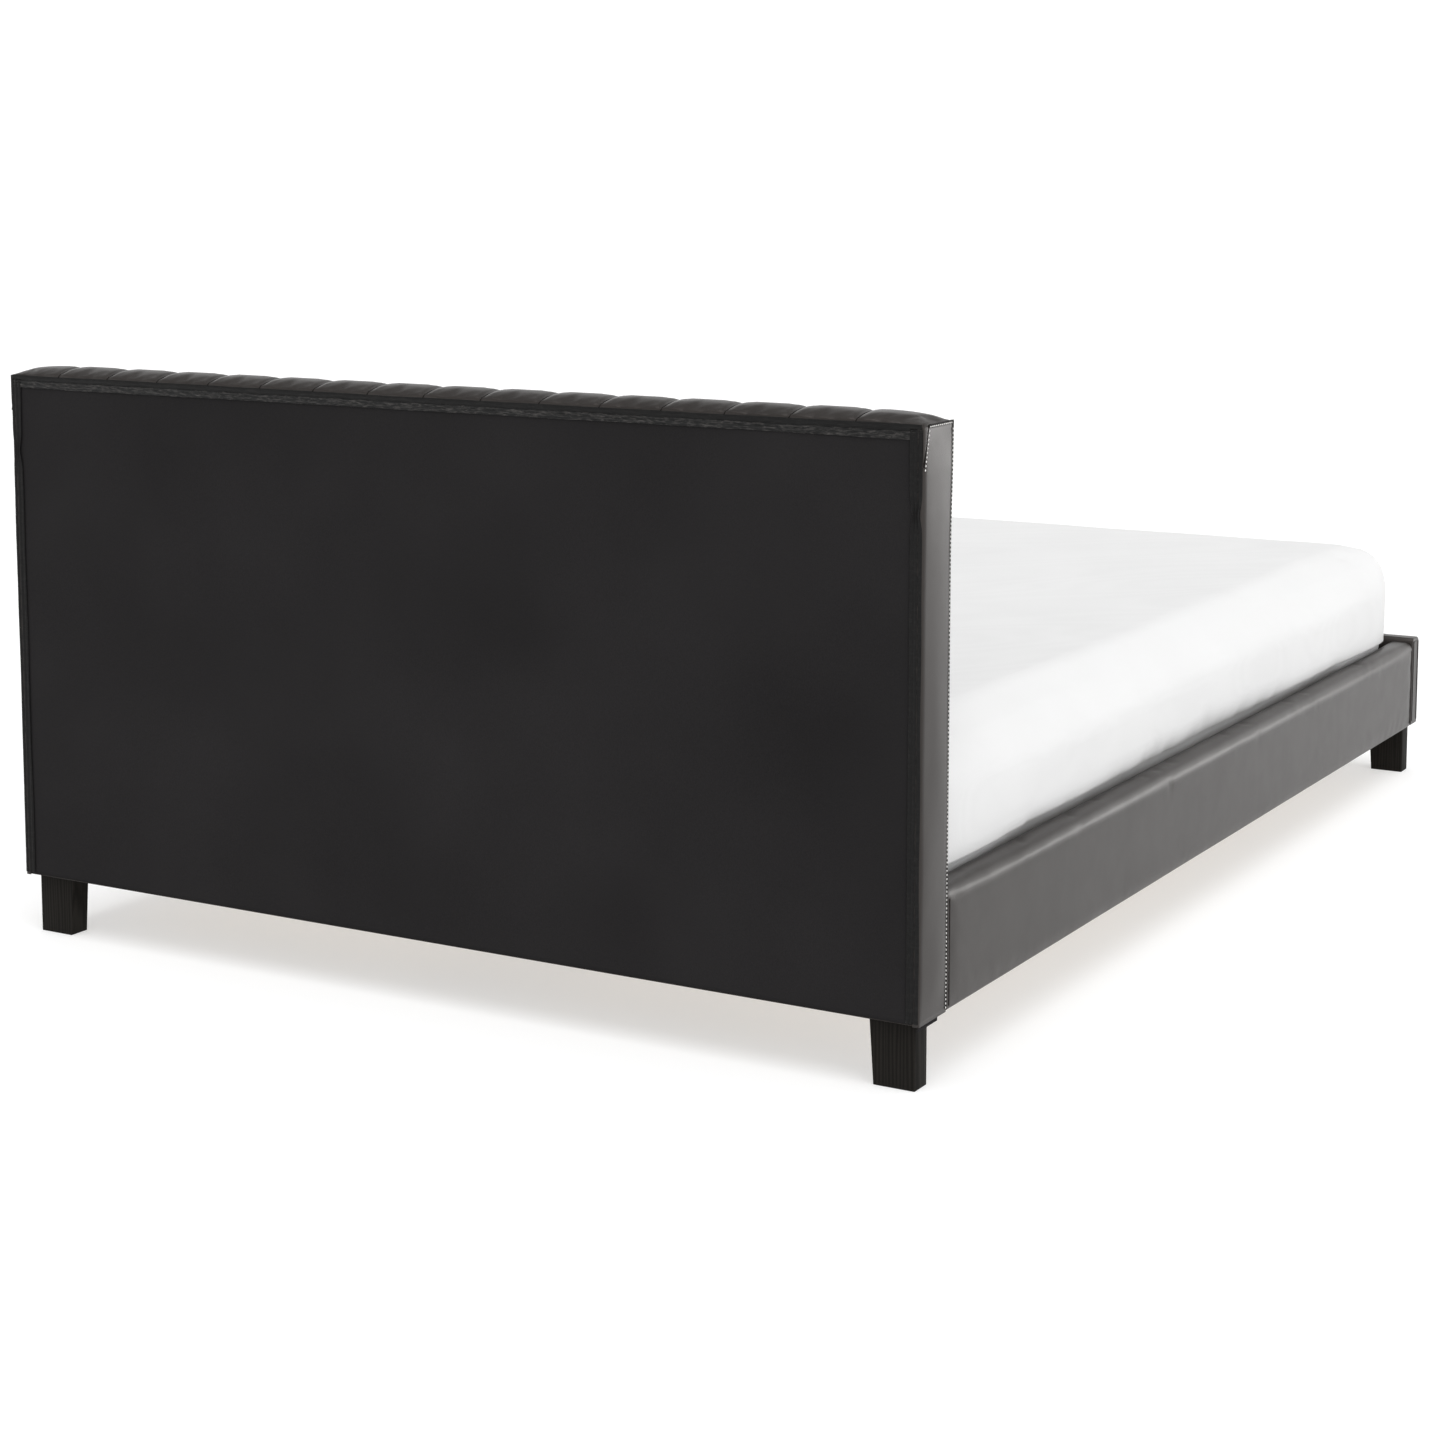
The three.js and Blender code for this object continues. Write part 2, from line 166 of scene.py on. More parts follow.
def cloudy(tree, place, scale, detail=3, roughness=0.5, distortion=0.0):
    node = tree.nodes.new("ShaderNodeTexNoise")
    node.inputs["Scale"].default_value = scale
    node.inputs["Detail"].default_value = detail
    node.inputs["Roughness"].default_value = roughness
    node.inputs["Distortion"].default_value = distortion
    tree.links.new(place, node.inputs["Vector"])
    return node.outputs["Fac"]


def cells(tree, place, scale, feature="F1"):
    node = tree.nodes.new("ShaderNodeTexVoronoi")
    node.feature = feature
    node.inputs["Scale"].default_value = scale
    tree.links.new(place, node.inputs["Vector"])
    return node.outputs["Distance"]


def ribs(tree, place, scale, direction, distortion=0.0):
    node = tree.nodes.new("ShaderNodeTexWave")
    node.bands_direction = direction
    node.inputs["Scale"].default_value = scale
    node.inputs["Distortion"].default_value = distortion
    tree.links.new(place, node.inputs["Vector"])
    return node.outputs["Fac"]


def blended(tree, first, second, share=0.5, kind="MIX"):
    node = tree.nodes.new("ShaderNodeMix")
    node.blend_type = kind
    node.data_type = "RGBA"
    node.inputs["Factor"].default_value = share
    tree.links.new(first, node.inputs["A"])
    tree.links.new(second, node.inputs["B"])
    return node.outputs["Result"]


def toned(tree, value, *stops):
    node = tree.nodes.new("ShaderNodeValToRGB")
    ramp = node.color_ramp
    while len(ramp.elements) < len(stops):
        ramp.elements.new(0.5)
    for element, (position, colour) in zip(ramp.elements, stops):
        element.position = position
        element.color = (*colour, 1)
    tree.links.new(value, node.inputs["Fac"])
    return node.outputs["Color"]


def ranged(tree, value, low, high):
    node = tree.nodes.new("ShaderNodeMapRange")
    node.inputs["To Min"].default_value = low
    node.inputs["To Max"].default_value = high
    tree.links.new(value, node.inputs["Value"])
    return node.outputs["Result"]


def raised(tree, height, strength, depth, under=None):
    node = tree.nodes.new("ShaderNodeBump")
    node.inputs["Strength"].default_value = strength
    node.inputs["Distance"].default_value = depth
    tree.links.new(height, node.inputs["Height"])
    if under is not None:
        tree.links.new(under, node.inputs["Normal"])
    return node.outputs["Normal"]


def wire(tree, shader, **links):
    for name, output in links.items():
        tree.links.new(output, shader.inputs[name.replace("_", " ")])


# %% [markdown]
# ### Leatherette
# The covers are coated cloth, embossed with a fine pebble grain. The colour is a warm black, and most of the
# grey that shows on it is reflected light. The gloss is broken: slightly shinier where the grain is
# stretched, duller elsewhere, so the highlights come out wide and soft. The turned edges in the seams are the
# same cloth in a darker copy: painted shade, for the little light that gets there.

# %% Leatherette
def leatherette(name, dark, light, gloss):
    material, tree, shader, place = new_finish(name)
    patches = cloudy(tree, place, 9, 4, 0.6)
    grain = cells(tree, place, 900)
    pores = cloudy(tree, place, 420, 2)
    colour = toned(tree, patches, (0.3, dark), (0.72, light))
    sheen_map = ranged(tree, cloudy(tree, place, 26, 3), gloss - 0.04, gloss + 0.05)
    soft = raised(tree, cloudy(tree, place, 14, 2), 0.07, 3 * MM)
    fine = raised(tree, pores, 0.1, 0.3 * MM, soft)
    skin = raised(tree, grain, 0.25, 0.25 * MM, fine)
    wire(tree, shader, Base_Color=colour, Roughness=sheen_map, Normal=skin)
    shader.inputs["Specular IOR Level"].default_value = 0.33
    shader.inputs["Specular Tint"].default_value = (1.0, 0.93, 0.89, 1.0)
    return material


leather = leatherette("leatherette", (0.0165, 0.0142, 0.0132), (0.0225, 0.0198, 0.0185), 0.34)
# The seams get a darker copy of the leatherette: its colour is painted shade for the shade deep in a seam.
painted_shade_leather = leatherette("seam leatherette in painted shade", (0.006, 0.0055, 0.005), (0.01, 0.009, 0.0085), 0.5)
painted_shade_leather.node_tree.nodes["Principled BSDF"].inputs["Specular IOR Level"].default_value = 0.15
print("made", leather.name, "and", painted_shade_leather.name)


# %% [markdown]
# ### Cloths
# The dust cloth is black spun fibre, pressed flat with a grid of tiny welds. The edging is the same black in
# a smoother cloth, dull where it lies flat and glossier where it is crumpled; on the crumpled band the crease
# crests are also painted a paler grey, a painted sheen. The sheet is white cotton in a plain weave, fine
# enough to read as a faint tooth. The mattress ticking is a looser knit.

# %% Cloths
def dust_cloth_finish():
    material, tree, shader, place = new_finish("dust cloth")
    fibres = cloudy(tree, stretched(tree, place, (1, 1, 0.45)), 1300, 4, 0.75)
    welds = cells(tree, place, 420)
    shade = cloudy(tree, place, 3.5, 2)
    mottle = blended(tree, fibres, shade, 0.4)
    colour = toned(tree, mottle, (0.34, (0.0125, 0.0118, 0.0122)), (0.68, (0.022, 0.0208, 0.0215)))
    soft = raised(tree, welds, 0.35, 0.2 * MM)
    wire(tree, shader, Base_Color=colour, Normal=raised(tree, fibres, 0.5, 0.25 * MM, soft))
    shader.inputs["Roughness"].default_value = 0.88
    shader.inputs["Specular IOR Level"].default_value = 0.06
    return material


def edging_finish(name, dark, light, dull, shiny, gloss, crumple):
    material, tree, shader, place = new_finish(name)
    creases = cloudy(tree, stretched(tree, place, (0.2, 1, 1)), 400, 5, 0.7, 0.6)
    # The crease crests take the lighter colour. On the crumpled band it is a pale grey: painted sheen on the
    # crests.
    colour = toned(tree, creases, (0.48, dark), (0.7, light))
    glossy = ranged(tree, creases, dull, shiny)
    wire(tree, shader, Base_Color=colour, Roughness=glossy, Normal=raised(tree, creases, 0.6, crumple))
    shader.inputs["Specular IOR Level"].default_value = gloss
    return material


def woven_finish(name, dark, light, threads, roughness, sheen=0.1):
    material, tree, shader, place = new_finish(name)
    warp = ribs(tree, place, threads, "X", 0.6)
    weft = ribs(tree, place, threads, "Y", 0.6)
    rise = ribs(tree, place, threads, "Z", 0.6)
    weave = blended(tree, blended(tree, warp, weft, 0.5), rise, 0.33)
    drift = cloudy(tree, place, 5, 3)
    colour = toned(tree, blended(tree, weave, drift, 0.6), (0.3, dark), (0.7, light))
    slub = raised(tree, cloudy(tree, place, 90, 3), 0.12, 0.5 * MM)
    wire(tree, shader, Base_Color=colour, Normal=raised(tree, weave, 0.3, 0.15 * MM, slub))
    shader.inputs["Roughness"].default_value = roughness
    shader.inputs["Sheen Weight"].default_value = sheen
    return material


dust_cloth = dust_cloth_finish()
edging = edging_finish("edging", (0.005, 0.0048, 0.0048), (0.012, 0.0115, 0.011), 0.6, 0.42, 0.16, 0.3 * MM)
# The crumpled band's pale grey crease colour is painted sheen, standing in for the shine on its crests.
CREASE_BLACK, CREASE_PAINTED_SHEEN = (0.004, 0.004, 0.004), (0.062, 0.058, 0.055)
crumpled = edging_finish("crumpled edging", CREASE_BLACK, CREASE_PAINTED_SHEEN, 0.46, 0.28, 0.22, 0.7 * MM)
cotton = woven_finish("white cotton", (0.67, 0.67, 0.67), (0.705, 0.705, 0.705), 640, 0.8, 0.02)
ticking = woven_finish("ticking", (0.6, 0.6, 0.58), (0.78, 0.78, 0.75), 300, 0.85)
webbing = woven_finish("webbing", (0.016, 0.016, 0.018), (0.05, 0.05, 0.055), 260, 0.8)
print("cloths:", ", ".join(m.name for m in (dust_cloth, edging, crumpled, cotton, ticking, webbing)))


# %% [markdown]
# ### Wood
# Planed pine shows long growth bands that wander a little, crossed by fine pores. The pattern is drawn out
# along the piece, so each direction of timber has a finish of its own. The legs are lacquered nearly
# black, and only a trace of the grain shows through.

# %% Wood
def wood_finish(name, along, dark, light, roughness=0.6, spacing=30):
    material, tree, shader, place = new_finish(name)
    squeeze = [1.0, 1.0, 1.0]
    squeeze["XYZ".index(along)] = 0.06
    drawn = stretched(tree, place, squeeze)
    rings = ribs(tree, drawn, spacing, "X" if along != "X" else "Z", 9)
    pores = cloudy(tree, stretched(tree, drawn, (8, 8, 8)), 60, 5, 0.7)
    figure = blended(tree, rings, pores, 0.4)
    colour = toned(tree, figure, (0.2, dark), (0.8, light))
    gloss = ranged(tree, figure, roughness + 0.08, roughness - 0.06)
    wire(tree, shader, Base_Color=colour, Roughness=gloss, Normal=raised(tree, pores, 0.25, 0.3 * MM))
    return material


PINE = (0.46, 0.29, 0.13), (0.72, 0.52, 0.28)
timber = {axis: wood_finish("timber along " + axis, axis, *PINE) for axis in "XYZ"}
slat_pine = wood_finish("slat pine", "X", (0.60, 0.41, 0.21), (0.80, 0.62, 0.37), 0.5)
hardboard = wood_finish("hardboard", "Z", (0.14, 0.075, 0.035), (0.2, 0.115, 0.055), 0.75, 6)
leg_lacquer = wood_finish("leg lacquer", "Z", (0.009, 0.0082, 0.0072), (0.0155, 0.014, 0.0122), 0.62, 60)
leg_lacquer.node_tree.nodes["Principled BSDF"].inputs["Specular IOR Level"].default_value = 0.05
print("woods:", ", ".join(m.name for m in (*timber.values(), slat_pine, hardboard, leg_lacquer)))


# %% [markdown]
# ### Metal, plastic and foam
# The beam and the brackets have a black powder coat with a slight orange peel. Bolts and studs are zinc
# plated, with a cloudy bloom. The centre legs are moulded plastic. The foam is open-celled and pale.

# %% Metal, plastic and foam
def coated_finish(name, dark, light, roughness, metallic=0.0, peel=700):
    material, tree, shader, place = new_finish(name)
    bloom = cloudy(tree, place, 60, 3)
    colour = toned(tree, bloom, (0.35, dark), (0.65, light))
    gloss = ranged(tree, bloom, roughness - 0.06, roughness + 0.08)
    peel_bump = raised(tree, cloudy(tree, place, peel, 2), 0.2, 0.2 * MM)
    wire(tree, shader, Base_Color=colour, Roughness=gloss, Normal=peel_bump)
    shader.inputs["Metallic"].default_value = metallic
    return material


def foam_finish():
    material, tree, shader, place = new_finish("foam")
    pores = cells(tree, place, 620)
    colour = toned(tree, pores, (0.1, (0.66, 0.60, 0.44)), (0.6, (0.82, 0.77, 0.62)))
    wire(tree, shader, Base_Color=colour, Normal=raised(tree, pores, 0.7, 0.6 * MM))
    shader.inputs["Roughness"].default_value = 0.95
    return material


black_steel = coated_finish("black powder coat", (0.012, 0.012, 0.013), (0.02, 0.02, 0.021), 0.45)
zinc = coated_finish("zinc plate", (0.5, 0.5, 0.51), (0.64, 0.64, 0.66), 0.33, 1.0, 300)
black_plastic = coated_finish("moulded plastic", (0.012, 0.012, 0.012), (0.018, 0.018, 0.018), 0.55)
thread_finish = coated_finish("sewing thread", (0.66, 0.65, 0.63), (0.82, 0.81, 0.79), 0.6)
foam = foam_finish()
print("and:", ", ".join(m.name for m in (black_steel, zinc, black_plastic, thread_finish, foam)))

# %% [markdown]
# ### The floor's finish
# The studio floor is matt and pale, with the faintest unevenness. It is lit from behind like a light table,
# so it comes out white and the bed's shadow on it stays faint.

# %% Floor finish
material, tree, shader, place = new_finish("studio floor")
pale = toned(tree, cloudy(tree, place, 0.8, 2), (0.3, (0.54, 0.54, 0.54)), (0.7, (0.56, 0.56, 0.56)))
wire(tree, shader, Base_Color=pale)
shader.inputs["Roughness"].default_value = 0.9
shader.inputs["Specular IOR Level"].default_value = 0.1
shader.inputs["Emission Color"].default_value = (1, 1, 1, 1)
shader.inputs["Emission Strength"].default_value = 0.5
floor.data.materials.append(material)
print("the floor is laid")

# %% [markdown]
# ## Finishes for the frame
# Every piece of the frame that stays as it is takes the finish of its own material slot. Timber looks at
# the piece's longest side to lay its grain along it.

# %% Dress the frame's own pieces
SLOT_FINISH = {
    "leather": leather,
    "dust_cloth": dust_cloth,
    "edge_tape": edging,
    "leg_lacquer": leg_lacquer,
    "hardboard": hardboard,
    "foam": foam,
    "black_steel": black_steel,
    "zinc": zinc,
    "black_plastic": black_plastic,
    "slat_pine": slat_pine,
    "webbing": webbing,
    "ticking": ticking,
    "sheet_cotton": cotton,
}


def long_axis(node):
    low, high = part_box(node)
    size = high - low
    return "XYZ"[max(range(3), key=lambda axis: size[axis])]


for part in frame["record"]["subparts"]:
    node, slot = part["node"], part["material_slot"]
    dressed = frame["nodes"][node].data.materials
    dressed.clear()
    dressed.append(timber[long_axis(node)] if slot == "timber" else SLOT_FINISH[slot])
print(len(frame["nodes"]), "pieces of the frame have a finish")


# %% [markdown]
# ## Working by hand
# A piece starts as a primitive at its size and place, is shaped in edit mode, and is then declared: which
# finish it takes, which body it moves with, and which solids it stands for.

# %% Helpers for pieces
def box_between(name, low, high):
    bpy.ops.object.select_all(action="DESELECT")
    low, high = Vector(low), Vector(high)
    bpy.ops.mesh.primitive_cube_add(size=1, location=(low + high) / 2, scale=high - low)
    piece = bpy.context.object
    piece.name = piece.data.name = name
    bpy.ops.object.transform_apply(location=True, rotation=True, scale=True)
    return piece


def pick(piece, verts=None, edges=None, faces=None):
    """Selects what a rule accepts, by its place, and leaves edit mode open."""
    bpy.ops.object.mode_set(mode="EDIT")
    bpy.ops.mesh.select_all(action="DESELECT")
    work = bmesh.from_edit_mesh(piece.data)
    mode = "VERT" if verts else "EDGE" if edges else "FACE"
    bpy.ops.mesh.select_mode(type=mode)
    for rule, items in ((verts, work.verts), (edges, work.edges), (faces, work.faces)):
        if rule:
            for item in items:
                item.select_set(rule(item))
    work.select_flush_mode()
    bmesh.update_edit_mesh(piece.data)


def done(piece):
    bpy.ops.object.mode_set(mode="OBJECT")
    return piece


def only(piece):
    bpy.ops.object.select_all(action="DESELECT")
    piece.select_set(True)
    bpy.context.view_layer.objects.active = piece


def apply_all(piece):
    only(piece)
    for name in [m.name for m in piece.modifiers]:
        bpy.ops.object.modifier_apply(modifier=name)
    return piece


def declare(piece, finish, body, slot, *nodes):
    piece.data.materials.clear()
    piece.data.materials.append(finish)
    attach(piece, body)
    if nodes:
        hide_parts(*nodes)
    print(f"{piece.name}: {len(piece.data.polygons)} faces")
    return piece


def mesh_piece(name, points, faces):
    """Makes an object from points and faces that a formula gave."""
    data = bpy.data.meshes.new(name)
    data.from_pydata([tuple(p) for p in points], [], faces)
    piece = bpy.data.objects.new(name, data)
    scene.collection.objects.link(piece)
    only(piece)
    bpy.ops.object.shade_smooth()
    return piece


def grid_faces(rows, columns):
    """Faces of a grid whose points run row by row."""
    corner = [(r * columns + c) for r in range(rows - 1) for c in range(columns - 1)]
    return [(k, k + 1, k + columns + 1, k + columns) for k in corner]


def outwards(piece):
    """Makes all faces agree, and turns those of a closed shape outwards."""
    only(piece)
    bpy.ops.object.mode_set(mode="EDIT")
    bpy.ops.mesh.select_all(action="SELECT")
    bpy.ops.mesh.normals_make_consistent(inside=False)
    bpy.ops.object.mode_set(mode="OBJECT")
    return piece


def looking(piece, direction):
    """Turns an open sheet over if its faces look away from a direction."""
    look = sum((p.normal * p.area for p in piece.data.polygons), Vector())
    if look.dot(Vector(direction)) < 0:
        piece.data.flip_normals()
    return piece


def thickened(piece, thickness):
    """Gives an open sheet a wall, on the side away from where it looks."""
    shell = piece.modifiers.new("wall", "SOLIDIFY")
    shell.thickness = thickness
    shell.offset = -1
    return apply_all(piece)


# %% [markdown]
# ## Padding by cloth simulation
# Upholstery is a skin that foam pushes out between its seams. Blender's cloth can do the same: the seam
# points are pinned, pressure swells the rest, and the skin is made a touch too large, by the share that spare
# gives, so that it puckers where it is sewn down. Gravity is off. Caps then limit how far a point may move.

# %% Cloth helper
SIM_FRAMES = 13


def swell(piece, pins, pressure, spare, caps, stiffness=12.0):
    """pins gives each point's hold, from 0, free, to 1, sewn down, and caps how far it may move."""
    rest = [v.co.copy() for v in piece.data.vertices]
    group = piece.vertex_groups.new(name="sewn")
    for index, hold in enumerate(pins):
        if hold > 0:
            group.add([index], hold, "REPLACE")
    cloth = piece.modifiers.new("cloth", "CLOTH")
    settings = cloth.settings
    settings.quality = 5
    settings.mass = 0.35
    settings.tension_stiffness = stiffness
    settings.compression_stiffness = stiffness
    settings.shear_stiffness = stiffness * 0.6
    settings.bending_stiffness = 0.6
    settings.tension_damping = 8
    settings.compression_damping = 8
    settings.air_damping = 2
    settings.shrink_min = -spare
    settings.use_pressure = True
    settings.uniform_pressure_force = pressure
    settings.vertex_group_mass = "sewn"
    settings.effector_weights.gravity = 0
    cloth.collision_settings.use_collision = False
    cloth.collision_settings.use_self_collision = False
    cloth.point_cache.frame_start = 1
    cloth.point_cache.frame_end = SIM_FRAMES
    for frame_number in range(1, SIM_FRAMES + 1):
        scene.frame_set(frame_number)
    apply_all(piece)
    scene.frame_set(1)
    moved = 0
    for vertex, start, cap in zip(piece.data.vertices, rest, caps):
        step = vertex.co - start
        if step.length > cap:
            step *= cap / step.length
            vertex.co = start + step
        moved = max(moved, step.length)
    print(f"{piece.name}: swelled by up to {moved / MM:.1f} mm")
    return piece


def smooth_step(value, low, high):
    share = min(max((value - low) / (high - low), 0), 1)
    return share * share * (3 - 2 * share)


# %% [markdown]
# ## The headboard's cover
# The front and the top are one skin, sewn in sixteen columns. In the middle of the bed the top is a crown
# that rolls over into the front. At each end the skin is pulled down to the square top edge of a flat side
# panel. Below the last row of tufting, behind the mattress, the front is plain.

# %% The line that the skin follows, from the front's lower edge over the top to the back edge
SIDE = HEAD_HIGH.x
BACK = HEAD_HIGH.y
FRONT = HEAD_LOW.y
BASE = HEAD_LOW.z
CROWN_TOP = HEAD_HIGH.z + 5.5 * MM
EDGE_TOP = CROWN_TOP - 11.5 * MM
LEAN = 5 * MM
CROWN_LINE = BACK - 46 * MM
ROLL = 38 * MM
COLUMN = 2 * SIDE / 16
CELLS_PER_COLUMN = 16
STEP = COLUMN / CELLS_PER_COLUMN


def front_at(z):
    """The padding is fullest near the top, so the front leans out a little there."""
    return FRONT - LEAN * smooth_step(z, EDGE_TOP - 170 * MM, EDGE_TOP - 20 * MM)


def crowned_line(count):
    """count points, evenly spaced, of the rolled and crowned profile, as (y, z)."""
    fine = []
    straight = CROWN_TOP - ROLL - BASE
    for k in range(400):
        z = BASE + straight * k / 400
        fine.append((front_at(z), z))
    reach = CROWN_LINE - front_at(CROWN_TOP - ROLL)
    for k in range(200):
        a = math.pi / 2 * k / 200
        fine.append((CROWN_LINE - reach * math.cos(a), CROWN_TOP - ROLL + ROLL * math.sin(a)))
    for k in range(201):
        a = math.pi / 2 * k / 200
        drop = (CROWN_TOP - EDGE_TOP) * (1 - math.cos(a))
        fine.append((CROWN_LINE + (BACK - CROWN_LINE) * math.sin(a), CROWN_TOP - drop))
    lengths = [0.0]
    for a, b in zip(fine, fine[1:]):
        lengths.append(lengths[-1] + math.dist(a, b))
    points, k = [], 0
    for n in range(count):
        want = lengths[-1] * n / (count - 1)
        while k < len(lengths) - 2 and lengths[k + 1] < want:
            k += 1
        share = (want - lengths[k]) / (lengths[k + 1] - lengths[k])
        points.append(tuple(a + (b - a) * share for a, b in zip(fine[k], fine[k + 1])))
    return points


def squared_line(count):
    """The same number of points up the front edge of a side panel and back along its top."""
    front_edge = front_at(EDGE_TOP)
    rise, run = EDGE_TOP - BASE, BACK - front_edge
    points = []
    for n in range(count):
        want = (rise + run) * n / (count - 1)
        if want < rise:
            points.append((front_at(BASE + want), BASE + want))
        else:
            points.append((front_edge + want - rise, EDGE_TOP))
    return points


ROWS = 1 + round((CROWN_TOP - BASE + 70 * MM) / STEP)
crowned = crowned_line(ROWS)
squared = squared_line(ROWS)
print("the skin has", ROWS, "rows of points")

# %% [markdown]
# The skin is a grid. Each point knows how far it is from the nearest seam. Points on a seam are sewn down
# deep into the foam on the front, and only a little over the top, where the foam is thin. The rest starts
# part of the way out and swells under pressure. A spread is how many steps wide a seam's groove is. The last
# column at each end falls in a round shoulder to the square edge of the side panel.

# %% Where each point of the skin starts
TUFT_ROWS = (64, 80, 96, 112)
COLUMNS = 16 * CELLS_PER_COLUMN + 1
SEAM_DEPTH = 8 * MM
TOP_SEAM_DEPTH = 2.4 * MM
SEAM_SPREAD = 2.2
TOP_SEAM_SPREAD = 0.9
PLAIN_SPREAD = 3
SKIN_PRESSURE = 3.0
SKIN_SPARE = 0.012
FRONT_SWELL = 7 * MM
TOP_SWELL = 3.0 * MM


def skin_point(row, column):
    x = -SIDE + column * STEP
    along_end = max(0.0, (abs(x) - SIDE + COLUMN) / COLUMN)
    pull = 1 - math.sqrt(max(0.0, 1 - along_end * along_end))
    y = crowned[row][0] + (squared[row][0] - crowned[row][0]) * pull
    z = crowned[row][1] + (squared[row][1] - crowned[row][1]) * pull
    return Vector((x, y, z))


def skin_normal(row):
    before, after = crowned[max(row - 1, 0)], crowned[min(row + 1, ROWS - 1)]
    along = Vector((0, after[0] - before[0], after[1] - before[1])).normalized()
    return Vector((0, -along.z, along.y))


def seam_distance(row, column):
    """Steps to the nearest seam."""
    if row < TUFT_ROWS[0]:
        return TUFT_ROWS[0] - row
    across = min(column % CELLS_PER_COLUMN, -column % CELLS_PER_COLUMN)
    down = min(abs(row - k) for k in TUFT_ROWS)
    return min(across, down)


# %% Headboard skin
points, pins, caps = [], [], []
top_start = next(k for k in range(ROWS) if crowned[k][1] > CROWN_TOP - ROLL)
for row in range(ROWS):
    over = smooth_step(row, top_start - 2, top_start + 6)
    depth = SEAM_DEPTH + (TOP_SEAM_DEPTH - SEAM_DEPTH) * over
    groove = PLAIN_SPREAD if row < TUFT_ROWS[0] else SEAM_SPREAD + (TOP_SEAM_SPREAD - SEAM_SPREAD) * over
    for column in range(COLUMNS):
        border = min(column, COLUMNS - 1 - column, row, ROWS - 1 - row)
        away = seam_distance(row, column)
        sunk = depth * math.exp(-((away / groove) ** 2)) * smooth_step(border, 0, 6 - 4 * over)
        points.append(skin_point(row, column) - skin_normal(row) * sunk)
        pins.append(1.0 if away == 0 or border == 0 else 0.0)
        caps.append(FRONT_SWELL + (TOP_SWELL - FRONT_SWELL) * over)

skin = outwards(mesh_piece("headboard_skin", points, grid_faces(ROWS, COLUMNS)))
swell(skin, pins, SKIN_PRESSURE, SKIN_SPARE, caps)
sewn_skin = [v.co.copy() for v in skin.data.vertices]

# %% [markdown]
# The finished skin gets a wall, like the coated cloth it is made of. It rides on the bed's frame, and it
# stands for both the cover and the foam under it.

# %% Finish the headboard skin
COATED_CLOTH = 1.4 * MM
thickened(skin, COATED_CLOTH)
declare(skin, leather, "frame", "leather", "headboard_cover", "headboard_foam")

# %% [markdown]
# Where two panels are sewn together, their turned edges close into a thin dark line. It is made as a slim
# four-sided cord that lies in the bottom of the seam, in the darker leatherette whose colour is painted
# shade.
# It follows the skin's own points, so it bends with every pucker.


# %% Seam lines
def seam_lines(name, finish, paths, radius, slot="leather"):
    """paths is a list of lines, and each line is a list of (place, outward direction)."""
    points, faces = [], []
    for path in paths:
        first = len(points)
        for k, (at, out) in enumerate(path):
            before, after = path[max(k - 1, 0)][0], path[min(k + 1, len(path) - 1)][0]
            side = (Vector(after) - Vector(before)).normalized().cross(Vector(out)).normalized()
            for lift, across in ((1, 0), (0, 1), (-1, 0), (0, -1)):
                points.append(Vector(at) + (Vector(out) * lift + side * across) * radius)
        for k in range(len(path) - 1):
            low, high = first + 4 * k, first + 4 * k + 4
            faces += [(low + c, high + c, high + (c + 1) % 4, low + (c + 1) % 4) for c in range(4)]
        last = len(points) - 4
        faces += [(first, first + 1, first + 2, first + 3), (last + 3, last + 2, last + 1, last)]
    line = outwards(mesh_piece(name, points, faces))
    return declare(line, finish, "frame", slot)


def on_skin(row, column):
    return sewn_skin[row * COLUMNS + column], skin_normal(row)


sewn_columns = range(CELLS_PER_COLUMN, COLUMNS - 1, CELLS_PER_COLUMN)
upright = [[on_skin(row, column) for row in range(TUFT_ROWS[0], ROWS)] for column in sewn_columns]
level = [[on_skin(row, column) for column in range(1, COLUMNS - 1)] for row in TUFT_ROWS]
# The seam cords take the darker leatherette, whose colour is painted shade.
seam_lines("headboard_seam_lines", painted_shade_leather, upright + level, 1.2 * MM)

# %% [markdown]
# ## The headboard's side panels
# Each end of the headboard is a flat strip of leatherette over the post. It meets the front and the top in a
# seam, and it turns round the back edge and goes under the edging. A little wadding lets it swell by a
# millimetre or two between its edges, and the cloth wanders slightly along its height.

# %% Side panels
PANEL_SWELL = 2.4 * MM
PANEL_TURN = 3 * MM
PANEL_LAP = 6 * MM


def side_panel(name, sign):
    depth = BACK - FRONT - PANEL_TURN
    line = [(FRONT + depth * k / 14, 0.0) for k in range(15)]
    for k in range(1, 5):
        a = math.pi / 2 * k / 4
        line.append((BACK - PANEL_TURN + PANEL_TURN * math.sin(a), -PANEL_TURN * (1 - math.cos(a))))
    line.append((BACK, -PANEL_TURN - PANEL_LAP))
    rows = 110
    places = []
    for row in range(rows):
        rise = row / (rows - 1)
        z = BASE + (EDGE_TOP - BASE) * rise
        for y, inward in line:
            across = (y - FRONT) / (BACK - FRONT)
            puff = math.sin(math.pi * min(across, 1)) ** 0.6 * min(1, 14 * rise, 14 * (1 - rise))
            wander = noise.noise(Vector((y * 22, z * 7, 3 * sign))) * 0.9 * MM * puff
            y -= (FRONT - front_at(z)) * max(0, 1 - across)
            x = SIDE + inward + PANEL_SWELL * puff * (inward == 0) + wander * (inward == 0)
            places.append((sign * x, y + 0.2 * MM * (inward != 0), z))
    panel = outwards(mesh_piece(name, places, grid_faces(rows, len(line))))
    thickened(looking(panel, (sign, 0, 0)), COATED_CLOTH)
    declare(panel, leather, "frame", "leather", "headboard_cover")
    return panel


side_panel("headboard_left_side_panel", -1)
side_panel("headboard_right_side_panel", 1)

# %% [markdown]
# The underside of the headboard is closed by a strip of the same leatherette, folded over and stapled.

